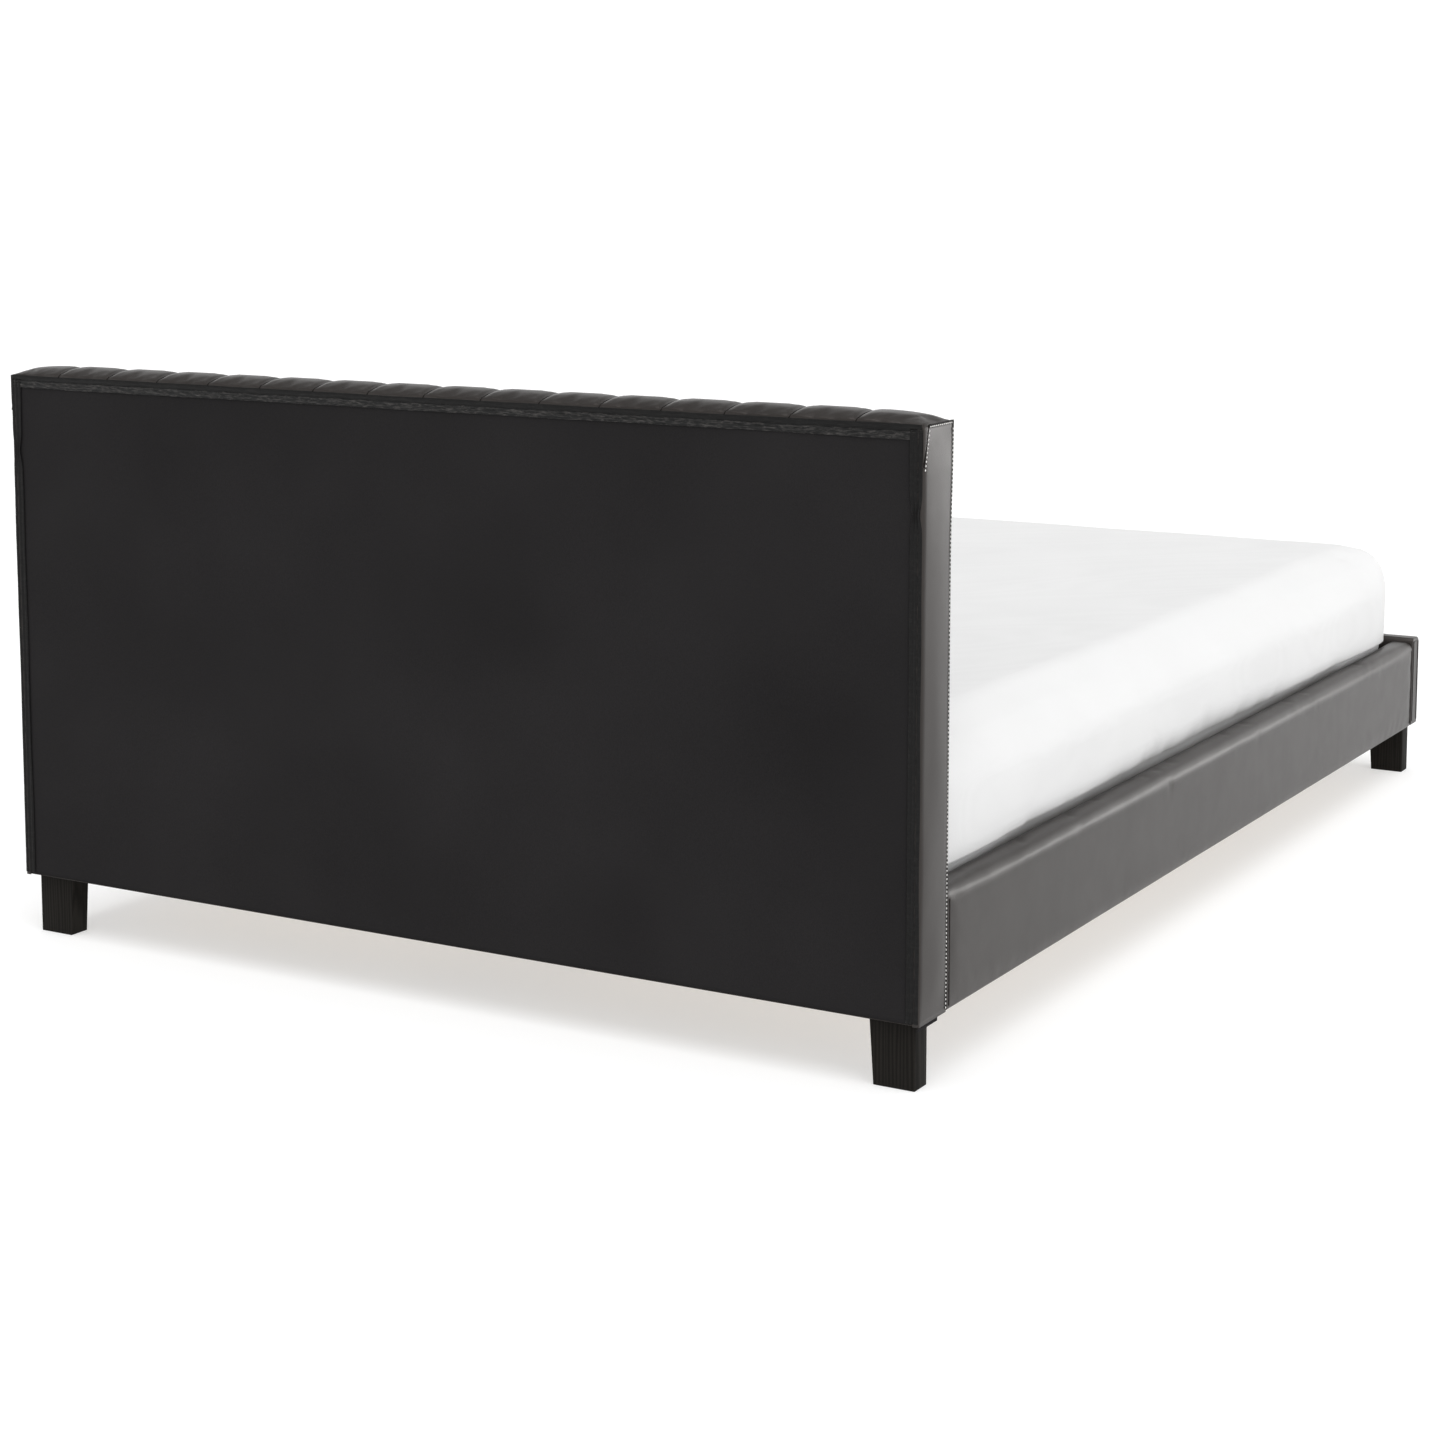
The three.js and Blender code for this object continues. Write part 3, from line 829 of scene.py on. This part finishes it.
# %% Underside strip
strip = box_between(
    "headboard_underside_strip",
    (-SIDE + 2 * MM, FRONT + 2 * MM, BASE + 0.2 * MM),
    (SIDE - 2 * MM, BACK - 3 * MM, BASE + 1.8 * MM),
)
pick(strip, edges=lambda e: abs(e.verts[0].co.x - e.verts[1].co.x) < MM)
bpy.ops.mesh.subdivide(number_cuts=1)
bpy.ops.mesh.select_all(action="SELECT")
bpy.ops.mesh.bevel(offset=0.5 * MM, segments=2)
done(strip)
declare(strip, leather, "frame", "leather", "headboard_cover")


# %% [markdown]
# ## Stitches
# Beside the seam of each side panel runs a row of stitches, which show as small pale dashes. One stitch is a
# low-sided bead, stretched along its row. The row is that bead, copied at an even pitch.

# %% Stitch rows
def bead():
    bpy.ops.object.select_all(action="DESELECT")
    bpy.ops.mesh.primitive_ico_sphere_add(subdivisions=1, radius=1)
    ball = bpy.context.object
    shape = [v.co.copy() for v in ball.data.vertices]
    faces = [tuple(p.vertices) for p in ball.data.polygons]
    bpy.data.objects.remove(ball)
    return shape, faces


BEAD_POINTS, BEAD_FACES = bead()
STITCH_PITCH = 5.4 * MM
STITCH_LENGTH = 3.4 * MM
STITCH_WIDTH = 1.6 * MM
STITCH_HEIGHT = 0.9 * MM
print("one stitch has", len(BEAD_FACES), "faces")


def stitch_row(name, route, facing, width=STITCH_WIDTH):
    """route is a list of points. Each stitch lies along it and stands out in the direction of facing."""
    points, faces = [], []
    travelled, due = 0.0, STITCH_PITCH / 2
    for start, end in zip(route, route[1:]):
        start, end = Vector(start), Vector(end)
        span = (end - start).length
        along = (end - start).normalized()
        out = (Vector(facing) - along * along.dot(Vector(facing))).normalized()
        across = along.cross(out)
        while due <= travelled + span:
            centre = start + along * (due - travelled)
            first = len(points)
            for p in BEAD_POINTS:
                flat = along * (p.x * STITCH_LENGTH / 2) + across * (p.y * width / 2)
                points.append(centre + flat + out * (p.z * STITCH_HEIGHT))
            faces += [tuple(first + k for k in face) for face in BEAD_FACES]
            due += STITCH_PITCH
        travelled += span
    row = mesh_piece(name, points, faces)
    return declare(row, thread_finish, "frame", "leather")


# %% [markdown]
# At the upper back corner the top skin is folded over the post as a narrow pointed flap, and the side
# panel's seam slants along it. The flap leans back a little, so it looks darker than the panel. A dark seam
# line runs round the front and the top of the panel and down the slant, with stitches beside it.

# %% Corner flaps and the seams of the side panels
FLAP_WIDTH = 12 * MM
FLAP_LENGTH = 52 * MM
FLAP_TAPER = 0.94
FLAP_PUFF = 1.5 * MM
FLAP_WALL = 0.7 * MM
SEAM_MARGIN = 2.6 * MM
TOP_STITCH_WIDTH = 2.2 * MM


def corner_flap(name, sign):
    rows, columns = 14, 6
    places = []
    for row in range(rows):
        down = row / (rows - 1)
        for column in range(columns):
            u = column / (columns - 1)
            puff = FLAP_PUFF * (1 - u ** 2.2) * (1 - down ** 3) * min(1, 0.4 + 8 * down)
            x = SIDE - 0.3 * MM + puff - 1.2 * MM * down ** 6
            y = BACK + 0.6 * MM - FLAP_WIDTH * (1 - FLAP_TAPER * down) * (1 - u)
            places.append((sign * x, y, EDGE_TOP - FLAP_LENGTH * down))
    flap = looking(mesh_piece(name, places, grid_faces(rows, columns)), (sign, 0, 0))
    return declare(thickened(flap, FLAP_WALL), leather, "frame", "leather")


def straight_path(places, out, step=6 * MM):
    path = []
    for start, end in zip(places, places[1:]):
        start, end = Vector(start), Vector(end)
        count = max(2, round((end - start).length / step))
        path += [(start.lerp(end, k / count), Vector(out)) for k in range(count)]
    return path + [(Vector(places[-1]), Vector(out))]


for side, sign in (("left", -1), ("right", 1)):
    corner_flap(f"headboard_{side}_corner_flap", sign)
    edge, face = sign * (SIDE + 0.2 * MM), sign * (SIDE + 1.1 * MM)
    heights = [BASE + 3 * MM] + [EDGE_TOP - drop * MM for drop in (170, 130, 95, 60, 20, 0)]
    slant_top = (edge + sign * 0.9 * MM, BACK - FLAP_WIDTH, EDGE_TOP)
    slant_foot = (edge + sign * 0.4 * MM, BACK - 0.6 * MM, EDGE_TOP - FLAP_LENGTH)
    seams = [(edge, front_at(z), z) for z in heights] + [slant_top, slant_foot]
    # The panel's seam line takes the darker leatherette, whose colour is painted shade.
    seam_lines(f"headboard_{side}_panel_seam", painted_shade_leather, [straight_path(seams, (sign, 0, 0))], 0.8 * MM)
    top_line = [(face, front_at(EDGE_TOP) + 4 * MM, EDGE_TOP - SEAM_MARGIN)]
    top_line.append((face, slant_top[1] - 2 * MM, EDGE_TOP - SEAM_MARGIN))
    slant_line = [(face, slant_top[1] - 2 * MM, EDGE_TOP - 2 * SEAM_MARGIN)]
    slant_line.append((face, BACK - SEAM_MARGIN, EDGE_TOP - FLAP_LENGTH - 4 * MM))
    front_line = [(face, front_at(z) + SEAM_MARGIN, max(z - 8 * MM, BASE + 6 * MM)) for z in heights[::-1]]
    stitch_row(f"headboard_{side}_top_stitches", top_line, (sign, 0, 0), width=TOP_STITCH_WIDTH)
    stitch_row(f"headboard_{side}_slant_stitches", slant_line, (sign, 0, 0))
    stitch_row(f"headboard_{side}_front_stitches", front_line, (sign, 0, 0))

# %% [markdown]
# ## The dust cloth
# The open back of the headboard is closed with a sheet of black spun cloth, stapled along its edges. It is
# pulled nearly flat. Faint vertical ripples start from the staples along the top and die out further down.

# %% Dust cloth
CLOTH_LOW, CLOTH_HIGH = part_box("headboard_back_cloth")
CLOTH_Y = CLOTH_HIGH.y
across_count, up_count = 300, 120
cloth_points = []
for row in range(up_count):
    rise = row / (up_count - 1)
    for column in range(across_count):
        x = CLOTH_LOW.x + (CLOTH_HIGH.x - CLOTH_LOW.x) * column / (across_count - 1)
        z = CLOTH_LOW.z + (CLOTH_HIGH.z - CLOTH_LOW.z) * rise
        near_top = max(0.0, rise - 0.72) / 0.28
        near_side = max(0.0, abs(x) / CLOTH_HIGH.x - 0.9) / 0.1
        ripple = noise.noise(Vector((x * 30 + 4, z * 2.5, 0.3))) * near_top * (1 - 0.4 * near_side)
        slack = noise.noise(Vector((x * 3.1, z * 3.7, 9.1)))
        held = min(1.0, 25 * rise, 25 * (1 - rise), 30 * (1 - abs(x) / CLOTH_HIGH.x))
        y = CLOTH_Y + (0.9 * MM * ripple + 0.8 * MM * slack - 0.6 * MM) * held
        cloth_points.append((x, y, z))
cloth_faces = [face[::-1] for face in grid_faces(up_count, across_count)]
cloth = mesh_piece("headboard_dust_cloth", cloth_points, cloth_faces)
thickened(cloth, 0.4 * MM)
declare(cloth, dust_cloth, "frame", "dust_cloth", "headboard_back_cloth")


# %% [markdown]
# A little of the lining shows below the near side panel, as a thin black lip with a wavy lower edge.

# %% Lining lip
LIP_DROP = 6 * MM
LIP_INSET = 2 * MM
lip_rows, lip_columns = 26, 4
lip_points = []
for row in range(lip_rows):
    y = FRONT + 20 * MM + (BACK - LIP_INSET - FRONT - 20 * MM) * row / (lip_rows - 1)
    wander = noise.noise(Vector((y * 60, 0.7, 2.2))) * 1.2 * MM
    for column in range(lip_columns):
        down = column / (lip_columns - 1)
        x = -SIDE + LIP_INSET + wander * down
        lip_points.append((x, y, BASE + MM - (LIP_DROP + MM + wander) * down))
lip = looking(mesh_piece("headboard_lining_lip", lip_points, grid_faces(lip_rows, lip_columns)), (-1, 0, 0))
thickened(lip, 0.5 * MM)
declare(lip, dust_cloth, "frame", "dust_cloth")

# %% [markdown]
# ## The folded edging
# The edge of the dust cloth is covered by a folded strip. Along the top it is about as wide as a thumb: a
# smooth dull fold above, and a crumpled band below it that is glossier where it is creased, with painted
# sheen on the crease crests. Down each side it is a little narrower, with three long folds that wander, and
# one pinch near the top. Each strip is a long grid, raised into folds.

# %% Folded strips
def ridge(u, centre, width):
    return math.exp(-(((u - centre) / width) ** 2))


def folded_strip(name, finish, start, along, across, length, width, folds, crumple, seed, pinch=None):
    """folds is a list of (centre, spread, height), with centre and spread as shares of the width."""
    start, along, across = Vector(start), Vector(along), Vector(across)
    out = Vector((0, 1, 0))
    cells_across = 16
    rows = int(length / (3 * MM))
    points = []
    for row in range(rows):
        run = length * row / (rows - 1)
        shift = noise.noise(Vector((run * 4, seed, 0.5))) * 0.07
        tight = 0.0 if pinch is None else ridge(run, pinch, 14 * MM)
        for k in range(cells_across):
            u = k / (cells_across - 1)
            lift = sum(height * ridge(u + shift, centre, spread) for centre, spread, height in folds)
            fine = noise.noise(Vector((run * 150, u * 7 + seed, 1.5)))
            fine += noise.noise(Vector((run * 55, seed, u * 3)))
            edge = noise.noise(Vector((run * 9, seed + 5 * (u > 0.5), 7.5))) * 0.9 * MM * (u in (0.0, 1.0))
            place = (u + tight * (0.5 - u) * 0.35) * width + edge
            height = lift * (1 + 0.9 * tight) + fine * crumple + 0.3 * MM
            points.append(start + along * run + across * place + out * height)
    strip = looking(mesh_piece(name, points, grid_faces(rows, cells_across)), out)
    return declare(thickened(strip, 0.8 * MM), finish, "frame", "edge_tape", "headboard_back_tape")


# %% The edging
TAPE_LOW, TAPE_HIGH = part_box("headboard_back_tape")
TAPE_Y = BACK - 0.9 * MM
TAPE_LENGTH = TAPE_HIGH.x - TAPE_LOW.x
FOLD_WIDTH = 9 * MM
BAND_WIDTH = 10.5 * MM
SIDE_TAPE_WIDTH = 17.5 * MM
RIGHTWARDS, DOWNWARDS = (1, 0, 0), (0, 0, -1)
fold_start = (TAPE_LOW.x, TAPE_Y, EDGE_TOP + 0.5 * MM)
band_start = (TAPE_LOW.x, TAPE_Y + 0.2 * MM, EDGE_TOP - FOLD_WIDTH + 1.5 * MM)
top_folds = [(0.35, 0.33, 2.0 * MM), (0.93, 0.09, 0.5 * MM)]
band_folds = [(0.12, 0.09, 0.9 * MM), (0.55, 0.2, 0.9 * MM), (0.93, 0.08, 0.9 * MM)]
side_folds = [(0.14, 0.12, 1.6 * MM), (0.5, 0.1, 1.5 * MM), (0.86, 0.1, 1.3 * MM)]
folded_strip(
    "headboard_top_edging", edging, fold_start, RIGHTWARDS, DOWNWARDS,
    TAPE_LENGTH, FOLD_WIDTH, top_folds, 0.12 * MM, 1.7,
)
folded_strip(
    "headboard_crumpled_band", crumpled, band_start, RIGHTWARDS, DOWNWARDS,
    TAPE_LENGTH, BAND_WIDTH, band_folds, 0.65 * MM, 3.4,
)
for side, sign in (("left", -1), ("right", 1)):
    tape_start = (sign * (SIDE - 1 * MM), TAPE_Y + 0.5 * MM, EDGE_TOP - 6 * MM)
    folded_strip(
        f"headboard_{side}_edging", edging, tape_start, DOWNWARDS, (-sign, 0, 0),
        EDGE_TOP - BASE - 10 * MM, SIDE_TAPE_WIDTH, side_folds, 0.14 * MM, 5.2 + sign, 105 * MM,
    )


# %% [markdown]
# ## Rails and footboard
# A rail is a board with foam on its outside and its top, wrapped in one skin. Its upper edges are generous
# rounds, its lower edges are tight, and its ends are folded like a parcel. The skin is a run of loops along
# the rail: each loop is a rounded rectangle, and the loops shrink towards each end. It then swells a little,
# so that the long highlight on its top edge wavers as it does on real upholstery.

# %% Padded bar
def same(a, b, tolerance=0.5 * MM):
    return abs(a - b) < tolerance


def rounded_loop(width, low, high, top_round, low_round, inset):
    """Points round a rounded rectangle, as (across, height), always the same number of them."""
    half = width / 2 - inset
    bottom, top = low + inset, high - inset
    corners = (
        (half, bottom, low_round, -90),
        (half, top, top_round, 0),
        (-half, top, top_round, 90),
        (-half, bottom, low_round, 180),
    )
    arcs = []
    for u, z, radius, first in corners:
        radius = max(radius - inset, 0.6 * MM)
        centre = (u - math.copysign(radius, u), z + radius if z == bottom else z - radius)
        angles = [math.radians(first + 90 * k / 5) for k in range(6)]
        arcs.append([(centre[0] + radius * math.cos(a), centre[1] + radius * math.sin(a)) for a in angles])
    loop = []
    for arc, after, steps in zip(arcs, arcs[1:] + arcs[:1], (16, 5, 16, 5)):
        loop += arc
        (u0, z0), (u1, z1) = arc[-1], after[0]
        loop += [(u0 + (u1 - u0) * k / steps, z0 + (z1 - z0) * k / steps) for k in range(1, steps)]
    return loop


BAR_SPARE = 0.001
BAR_STATION = 9 * MM
HELD_END = 12 * MM


def padded_bar(name, low, high, axis, top_round, low_round, end_round, pressure, cap):
    """A bar along axis (0 for X, 1 for Y) with round edges, then swollen by cloth simulation."""
    middle = (low + high) / 2
    width = (high - low)[1 - axis]
    stations = [(0.0, 0.75 * width / 2), (0.0, 0.45 * width / 2)]
    for k in range(5):
        a = math.pi / 2 * k / 4
        stations.append((end_round * (1 - math.cos(a)), end_round * (1 - math.sin(a))))
    length = high[axis] - low[axis]
    count = round((length - 2 * end_round) / BAR_STATION)
    inner = [end_round + (length - 2 * end_round) * k / count for k in range(1, count)]
    run = stations + [(at, 0.0) for at in inner] + [(length - at, inset) for at, inset in reversed(stations)]
    points = []
    for at, inset in run:
        for u, z in rounded_loop(width, low.z, high.z, top_round, low_round, inset):
            place = Vector((0, 0, z))
            place[axis] = low[axis] + at
            place[1 - axis] = middle[1 - axis] + u
            points.append(place)
    around = len(points) // len(run)
    faces = [tuple(range(around)), tuple(reversed(range(len(points) - around, len(points))))]
    for k in range(len(run) - 1):
        for c in range(around):
            after = (c + 1) % around
            faces.append((k * around + c, (k + 1) * around + c, (k + 1) * around + after, k * around + after))
    piece = mesh_piece(name, points, faces)
    outwards(piece)
    normals = [v.normal.copy() for v in piece.data.vertices]
    for vertex, normal in zip(piece.data.vertices, normals):
        drift = noise.noise(vertex.co * 5.5) * 0.9 + noise.noise(vertex.co * 13) * 0.45
        top_share = smooth_step(vertex.co.z, high.z - 45 * MM, high.z)
        vertex.co += normal * drift * MM * (0.25 + 0.3 * top_share)
    pins = []
    for vertex in piece.data.vertices:
        to_end = min(vertex.co[axis] - low[axis], high[axis] - vertex.co[axis])
        held = vertex.co.z < low.z + low_round or to_end < HELD_END
        pins.append(1.0 if held else 0.1)
    return swell(piece, pins, pressure, BAR_SPARE, [cap] * len(pins))


def mirrored(piece, name):
    """A copy on the other side of the bed."""
    points = [(-v.co.x, v.co.y, v.co.z) for v in piece.data.vertices]
    return mesh_piece(name, points, [tuple(reversed(p.vertices)) for p in piece.data.polygons])


RAIL_LOW, RAIL_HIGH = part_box("left_rail_cover")
END_ROUND = 3.5 * MM
BAR_PRESSURE = 1.2
left_rail = padded_bar(
    "left_rail_upholstery", RAIL_LOW, RAIL_HIGH, 1, 14 * MM, 4 * MM, END_ROUND, BAR_PRESSURE, 2 * MM
)
right_rail = mirrored(left_rail, "right_rail_upholstery")
for side, rail in (("left", left_rail), ("right", right_rail)):
    declare(rail, leather, "frame", "leather", f"{side}_rail_cover", f"{side}_rail_foam")

# %% [markdown]
# The footboard is made the same way, thinner and with tighter edges. Its ends, and the ends of the rails, are
# closed by a parcel fold, and the sewn edge of the fold stands out as a thin raised line.

# %% Footboard
footboard = padded_bar(
    "footboard_upholstery", FOOT_LOW, FOOT_HIGH, 0, 9 * MM, 5 * MM, END_ROUND, BAR_PRESSURE, 1.6 * MM
)
declare(footboard, leather, "frame", "leather", "footboard_cover", "footboard_foam")

# %% End seams
END_SEAM = 0.7 * MM
end_paths = []
for sign in (-1, 1):
    face, near, far = sign * (FOOT_HIGH.x + 0.5 * MM), FOOT_HIGH.y - 6 * MM, FOOT_LOW.y + 6 * MM
    low, high = FOOT_LOW.z + 8 * MM, FOOT_HIGH.z - 7 * MM
    for y in (near, far):
        end_paths.append(straight_path([(face, y, low), (face, y, high)], (sign, 0, 0)))
    end_paths.append(straight_path([(face, near, high), (face, far, high)], (sign, 0, 0)))
seam_lines("footboard_end_seams", leather, end_paths, END_SEAM)
rail_paths = []
for sign in (-1, 1):
    outer = sign * (max(abs(RAIL_LOW.x), abs(RAIL_HIGH.x)) + 0.6 * MM)
    for y in (RAIL_LOW.y + 7 * MM, RAIL_HIGH.y - 7 * MM):
        line = [(outer, y, RAIL_LOW.z + 6 * MM), (outer, y, RAIL_HIGH.z - 14 * MM)]
        rail_paths.append(straight_path(line, (sign, 0, 0)))
seam_lines("rail_end_seams", leather, rail_paths, END_SEAM)

# %% [markdown]
# ## Legs
# The legs are flat blocks of lacquered wood. Their outer faces stand straight and the inner face slopes, so
# each is a box whose lower inner edge is moved outwards, with all its edges slightly broken.

# %% Legs
LEG_BREAK = 0.9 * MM
for end in ("head", "foot"):
    for side, sign in (("left", -1), ("right", 1)):
        node = f"{end}_{side}_leg"
        low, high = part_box(node)
        leg = box_between(f"{node}_block", low, high)
        inner = low.x if sign > 0 else high.x
        pick(leg, verts=lambda v: same(v.co.x, inner) and same(v.co.z, low.z))
        bpy.ops.transform.translate(value=(sign * 6 * MM, 0, 0))
        bpy.ops.mesh.select_mode(type="EDGE")
        bpy.ops.mesh.select_all(action="SELECT")
        bpy.ops.mesh.bevel(offset=LEG_BREAK, segments=3)
        done(leg)
        only(leg)
        bpy.ops.object.shade_smooth_by_angle(angle=math.radians(35))
        declare(leg, leg_lacquer, "frame", "leg_lacquer", node)

# %% [markdown]
# ## Mattress
# The mattress is a tall cushion with round corners and edges, seen only through the sheet's opening
# underneath. It is a box, bevelled first at its upright corners and then along its upper and lower edges. It
# is a centimetre smaller than the sheet, to leave room for the sheet's own folds.

# %% Mattress
BED_LOW, BED_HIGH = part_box("fitted_sheet")
CORNER_ROUND = 70 * MM
EDGE_ROUND = 46 * MM


def cushion_box(name, low, high, corner, edge):
    piece = box_between(name, low, high)
    pick(piece, edges=lambda e: not same(e.verts[0].co.z, e.verts[1].co.z))
    bpy.ops.mesh.bevel(offset=corner, segments=8)
    done(piece)
    level = (low.z, high.z)
    pick(piece, edges=lambda e: any(all(same(v.co.z, z) for v in e.verts) for z in level))
    bpy.ops.mesh.bevel(offset=edge, segments=6, clamp_overlap=True)
    done(piece)
    return piece


SHEET_EASE = Vector((11, 11, 11)) * MM
mattress_low, mattress_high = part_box("mattress")
body_low = mattress_low + Vector((SHEET_EASE.x, SHEET_EASE.y, 0))
mattress = cushion_box("mattress_body", body_low, mattress_high - SHEET_EASE, CORNER_ROUND, 60 * MM)
only(mattress)
bpy.ops.object.shade_smooth_by_angle(angle=math.radians(30))
declare(mattress, ticking, "bedding", "ticking", "mattress")

# %% [markdown]
# ## Fitted sheet
# The sheet is sewn to the mattress's shape, and elastic gathers it underneath. It starts as the same
# cushion, a little larger, with its underside cut away inside the hem. The hem is pinned, a gentle pressure
# and a hair of spare cloth let it settle into slow waves, and where it stands between the rails it is kept
# from spreading into them.

# %% Fitted sheet
HEM = 90 * MM
SHEET_CORNER = 45 * MM
sheet = cushion_box("fitted_sheet_cloth", BED_LOW, BED_HIGH, SHEET_CORNER, EDGE_ROUND)
even = sheet.modifiers.new("even cloth", "REMESH")
even.mode = "VOXEL"
even.voxel_size = 15 * MM
even.use_smooth_shade = True
apply_all(sheet)


def under_opening(face):
    centre = face.calc_center_median()
    inside_x = abs(centre.x) < BED_HIGH.x - HEM
    inside_y = BED_LOW.y + HEM < centre.y < BED_HIGH.y - HEM
    return inside_x and inside_y and centre.z < BED_LOW.z + 20 * MM


pick(sheet, faces=under_opening)
bpy.ops.mesh.delete(type="FACE")
done(sheet)
sheet_pins = [1.0 if v.co.z < BED_LOW.z + 6 * MM else 0.02 for v in sheet.data.vertices]
SHEET_PRESSURE = 0.9
SHEET_SPARE = 0.004
SHEET_CAP = 9 * MM
swell(sheet, sheet_pins, SHEET_PRESSURE, SHEET_SPARE, [SHEET_CAP] * len(sheet_pins), stiffness=8.0)

# %% [markdown]
# The cotton is pulled down at the corners, so long shallow waves cross it at a slant. Between the rails the
# sheet is held in line. Just above them it folds out sharply and stands proud, so three extra rings of points
# are cut there first.

# %% Waves in the sheet
WAVE = 2.2 * MM
BULGE = 8 * MM
CROWN = 9 * MM
FOLD_RINGS = (1.5 * MM, 4 * MM, 8 * MM)
cutter = bmesh.new()
cutter.from_mesh(sheet.data)
for ring in FOLD_RINGS:
    everything = cutter.verts[:] + cutter.edges[:] + cutter.faces[:]
    bmesh.ops.bisect_plane(
        cutter, geom=everything, dist=0.6 * MM, plane_co=(0, 0, RAIL_HIGH.z + ring), plane_no=(0, 0, 1)
    )
cutter.to_mesh(sheet.data)
cutter.free()
sheet_normals = [v.normal.copy() for v in sheet.data.vertices]
for vertex, normal in zip(sheet.data.vertices, sheet_normals):
    x, y, z = vertex.co
    slow = noise.noise(Vector((x * 1.1 + y * 0.9, (y - x) * 3.4, z * 2.5)))
    quick = noise.noise(Vector((x * 2.0 + y * 1.6, (y - x) * 8.0, z * 6 + 3)))
    rise = smooth_step(z, RAIL_HIGH.z + 10 * MM, RAIL_HIGH.z + 60 * MM)
    vertex.co += normal * (slow + 0.4 * quick) * WAVE * rise
    bulge = smooth_step(z, RAIL_HIGH.z + FOLD_RINGS[0], RAIL_HIGH.z + FOLD_RINGS[2])
    bulge *= 1 - smooth_step(z, BED_HIGH.z - 75 * MM, BED_HIGH.z)
    vertex.co += Vector((normal.x, normal.y, 0)) * BULGE * bulge
    vertex.co.z += CROWN * smooth_step(z, BED_HIGH.z - 70 * MM, BED_HIGH.z)
for vertex in sheet.data.vertices:
    held = 1 - smooth_step(vertex.co.z, RAIL_HIGH.z + FOLD_RINGS[0], RAIL_HIGH.z + FOLD_RINGS[2])
    for axis in (0, 1):
        low, high = BED_LOW[axis] - 0.8 * MM, BED_HIGH[axis] + 0.8 * MM
        inside = min(max(vertex.co[axis], low), high)
        vertex.co[axis] += (inside - vertex.co[axis]) * held
thickened(sheet, 0.8 * MM)
declare(sheet, cotton, "bedding", "sheet_cotton", "fitted_sheet")
